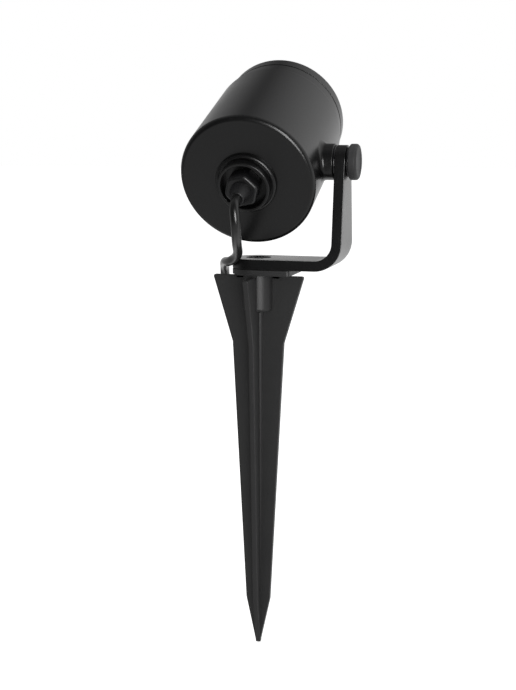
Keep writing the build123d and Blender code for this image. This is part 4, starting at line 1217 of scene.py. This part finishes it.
CAMERA_RISE = math.radians(10.37)
CAMERA_AWAY = 490.25
CAMERA_SHIFT = -0.26
CAMERA_LEVEL = -32.01
CAMERA_SENSOR = 36
FLOOR_LEVEL = -176.9
FLOOR_GLOW = 0.80
BAND_PLACE = 0.22
BAND_BRIGHT = 1.2
GROUND_BRIGHT = 1.12
LEFT_DROP = 0.7
FRONT_BRIGHT = 0.62
FRONT_DROP = 0.58

# In metres.
FLOOR_HALF = 12
TOP_LAMP = {"size": (0.9, 0.9), "place": (-0.25, -0.2, 1.2), "target": (0, 0, 0)}
STRIP_LAMP = {"size": (0.34, 0.62), "place": (0.42, -0.80, 0.00), "target": (0, 0, 0.04)}


def ray_kinds(recipe):
    """Three numbers: one for camera rays, one for mirror rays and one for glass rays."""
    kinds = ("Is Camera Ray", "Is Glossy Ray", "Is Transmission Ray")
    return [recipe.add("ShaderNodeLightPath", out=kind) for kind in kinds]


def make_camera():
    """The camera that took the photograph's view."""
    back = Vector((math.sin(CAMERA_SIDE), -math.cos(CAMERA_SIDE), 0)) * math.cos(CAMERA_RISE)
    back.z = math.sin(CAMERA_RISE)
    right = Vector((math.cos(CAMERA_SIDE), math.sin(CAMERA_SIDE), 0))
    up = back.cross(right)
    place = Vector((0, 0, CAMERA_LEVEL)) + right * CAMERA_SHIFT + back * CAMERA_AWAY
    data = bpy.data.cameras.new("view")
    data.lens = settings().stage.lens
    data.sensor_width = CAMERA_SENSOR
    data.clip_start = 0.01
    camera = bpy.data.objects.new("view", data)
    turn = Matrix((right, up, back)).transposed().to_4x4()
    camera.matrix_world = Matrix.Translation(place * MM) @ turn
    bpy.context.scene.collection.objects.link(camera)
    bpy.context.scene.camera = camera


def make_floor():
    """Pale floor that shows as white and keeps the object's shadow."""
    recipe = Recipe("studio_floor")
    camera, glossy, through = ray_kinds(recipe)
    glow = (camera + glossy + through).clipped(0.0, 1.0) * FLOOR_GLOW
    light = recipe.add("ShaderNodeEmission", None, {"Color": tone(1.0), "Strength": glow})
    matt = recipe.add("ShaderNodeBsdfDiffuse", None, {"Color": tone(0.80)})
    both = recipe.add("ShaderNodeAddShader", None, [light, matt])
    recipe.add("ShaderNodeOutputMaterial", None, {"Surface": both})
    mesh = bmesh.new()
    bmesh.ops.create_grid(mesh, x_segments=1, y_segments=1, size=FLOOR_HALF)
    bmesh.ops.translate(mesh, vec=(0, 0, FLOOR_LEVEL * MM), verts=mesh.verts)
    data = bpy.data.meshes.new("studio_floor")
    mesh.to_mesh(data)
    mesh.free()
    data.materials.append(recipe.material)
    floor = bpy.data.objects.new("studio_floor", data)
    floor.visible_glossy = False
    bpy.context.scene.collection.objects.link(floor)


def make_world():
    """White room for the camera, an even softer light, and a studio for mirror rays.

    The studio has a dim band overhead, between two bright sides, and a bright ground. It
    fades at the far left and behind the camera, where only the ground stays half bright.
    """
    world = bpy.data.worlds.new("studio")
    bpy.context.scene.world = world
    recipe = Recipe("studio", world)
    way = recipe.place("Generated")
    x = recipe.axis("X", way)
    y = recipe.axis("Y", way)
    z = recipe.axis("Z", way)
    band = ((x + BAND_PLACE).size() * 1.3 + 0.10).clipped(0.0, 1.2) * BAND_BRIGHT
    high = z.eased(0.0, 0.42)
    left = (0.0 - x).eased(0.46, 0.70)
    room = (band * high + (1 - high) * GROUND_BRIGHT) * (1 - left * LEFT_DROP)
    front = (0.0 - y).eased(0.0, 0.5)
    raised = z.eased(-0.75, -0.30)
    mirror = room * (1 - front) + front * (FRONT_BRIGHT - raised * FRONT_DROP)
    camera, glossy, through = ray_kinds(recipe)
    even = (1 - camera) * (1 - glossy) * (1 - through) * settings().stage.fill
    strength = even + glossy * (1 - camera) * mirror + camera + through
    light = recipe.add("ShaderNodeBackground", None, {"Color": tone(1.0), "Strength": strength})
    recipe.add("ShaderNodeOutputWorld", None, {"Surface": light})


def soft_lamp(name, power, mirrored, size, place, target):
    """Rectangular lamp that faces a point, either a card for mirrors or a light for the rest."""
    data = bpy.data.lights.new(name, "AREA")
    data.energy = power
    data.shape = "RECTANGLE"
    data.size, data.size_y = size
    lamp = bpy.data.objects.new(name, data)
    place = Vector(place)
    turn = (place - Vector(target)).to_track_quat("Z", "Y")
    lamp.matrix_world = Matrix.Translation(place) @ turn.to_matrix().to_4x4()
    lamp.visible_glossy = mirrored
    lamp.visible_diffuse = not mirrored
    bpy.context.scene.collection.objects.link(lamp)


# ------------------------------------------------------------- operators


class FinishShelf:
    """The finishes, made once and shared by the operators."""

    made = {}

    @classmethod
    def get(cls, name):
        """The finish of that name."""
        if not cls.made:
            cls.made.update(make_finishes())
        return cls.made[name]


class SPOTLIGHT_OT_stage(bpy.types.Operator):
    """Make the camera, the floor, the room light and the lamps"""

    bl_idname = "spotlight.stage"
    bl_label = "Stage"

    def execute(self, context):
        stage = context.scene.spotlight.stage
        context.scene.view_settings.view_transform = "Standard"
        make_camera()
        make_floor()
        make_world()
        soft_lamp("top", stage.top_power, False, **TOP_LAMP)
        soft_lamp("strip", stage.strip_power, True, **STRIP_LAMP)
        return {"FINISHED"}


class SPOTLIGHT_OT_lead(bpy.types.Operator):
    """Make the lead with its tie and plug"""

    bl_idname = "spotlight.lead"
    bl_label = "Lead and plug"

    def execute(self, context):
        names = ("cord_rubber", "tie_rubber", "plug_plastic", "pin_metal", "seal_rubber")
        make_lead(*[FinishShelf.get(name) for name in names])
        return {"FINISHED"}


class SPOTLIGHT_OT_spike(bpy.types.Operator):
    """Make the ground spike"""

    bl_idname = "spotlight.spike"
    bl_label = "Ground spike"

    def execute(self, context):
        make_spike(FinishShelf.get("spike_plastic"))
        return {"FINISHED"}


class SPOTLIGHT_OT_bracket(bpy.types.Operator):
    """Make the bent bracket"""

    bl_idname = "spotlight.bracket"
    bl_label = "Bracket"

    def execute(self, context):
        make_bracket(FinishShelf.get("bracket_paint"))
        return {"FINISHED"}


class SPOTLIGHT_OT_pivot(bpy.types.Operator):
    """Make the washers and the thumb knob"""

    bl_idname = "spotlight.pivot"
    bl_label = "Washers and knob"

    def execute(self, context):
        make_washers(FinishShelf.get("washer_plastic"))
        make_knob(FinishShelf.get("knob_plastic"))
        return {"FINISHED"}


class SPOTLIGHT_OT_head(bpy.types.Operator):
    """Make the housing, front ring, glass and lens"""

    bl_idname = "spotlight.head"
    bl_label = "Lamp head"

    def execute(self, context):
        make_housing(FinishShelf.get("head_paint"))
        make_front_ring(FinishShelf.get("head_paint"))
        make_pane(FinishShelf.get("front_glass"))
        make_lens(FinishShelf.get("lens_clear"))
        return {"FINISHED"}


class SPOTLIGHT_OT_gland(bpy.types.Operator):
    """Make the rear collar and the cable gland's nut"""

    bl_idname = "spotlight.gland"
    bl_label = "Collar and gland"

    def execute(self, context):
        make_collar(FinishShelf.get("head_paint"))
        make_gland_nut(FinishShelf.get("gland_plastic"))
        return {"FINISHED"}


class SPOTLIGHT_OT_inside(bpy.types.Operator):
    """Give every piece that keeps its own solid its finish"""

    bl_idname = "spotlight.inside"
    bl_label = "Inner pieces"

    def execute(self, context):
        slots = {entry["node"]: entry["material_slot"] for entry in frame["record"]["subparts"]}
        for name, node in frame["nodes"].items():
            if slots.get(name) is None:
                raise RuntimeError(f"{name} has no material slot")
            finish = FinishShelf.get(slots[name])
            for holder in node.material_slots:
                holder.material = finish
        return {"FINISHED"}


class SPOTLIGHT_PT_panel(bpy.types.Panel):
    """Buttons that build the spotlight piece by piece"""

    bl_idname = "SPOTLIGHT_PT_panel"
    bl_label = "Garden spotlight"
    bl_space_type = "VIEW_3D"
    bl_region_type = "UI"
    bl_category = "Spotlight"

    def draw(self, context):
        column = self.layout.column()
        for operator in OPERATORS:
            column.operator(operator.bl_idname)


class SpotlightSettings(bpy.types.PropertyGroup):
    """All the settings of the spotlight."""

    head: bpy.props.PointerProperty(type=HeadSettings, name="Head", description="Sizes of the lamp head")
    bracket: bpy.props.PointerProperty(
        type=BracketSettings, name="Bracket", description="Sizes of the bracket"
    )
    spike: bpy.props.PointerProperty(type=SpikeSettings, name="Spike", description="Sizes of the spike")
    cord: bpy.props.PointerProperty(type=CordSettings, name="Lead", description="Sizes of the lead")
    finish: bpy.props.PointerProperty(type=FinishSettings, name="Finish", description="Outside colours")
    stage: bpy.props.PointerProperty(type=StageSettings, name="Stage", description="Studio and camera")


OPERATORS = (
    SPOTLIGHT_OT_stage,
    SPOTLIGHT_OT_lead,
    SPOTLIGHT_OT_spike,
    SPOTLIGHT_OT_bracket,
    SPOTLIGHT_OT_pivot,
    SPOTLIGHT_OT_head,
    SPOTLIGHT_OT_gland,
    SPOTLIGHT_OT_inside,
)
GROUPS = (HeadSettings, BracketSettings, SpikeSettings, CordSettings, FinishSettings, StageSettings)
CLASSES = GROUPS + (SpotlightSettings,) + OPERATORS + (SPOTLIGHT_PT_panel,)


def register():
    for item in CLASSES:
        bpy.utils.register_class(item)
    bpy.types.Scene.spotlight = bpy.props.PointerProperty(type=SpotlightSettings)


def unregister():
    del bpy.types.Scene.spotlight
    for item in reversed(CLASSES):
        bpy.utils.unregister_class(item)


def main():
    """Builds everything."""
    register()
    bpy.ops.spotlight.stage()
    bpy.ops.spotlight.lead()
    bpy.ops.spotlight.spike()
    bpy.ops.spotlight.bracket()
    bpy.ops.spotlight.pivot()
    bpy.ops.spotlight.head()
    bpy.ops.spotlight.gland()
    bpy.ops.spotlight.inside()


if __name__ == "__main__":
    main()
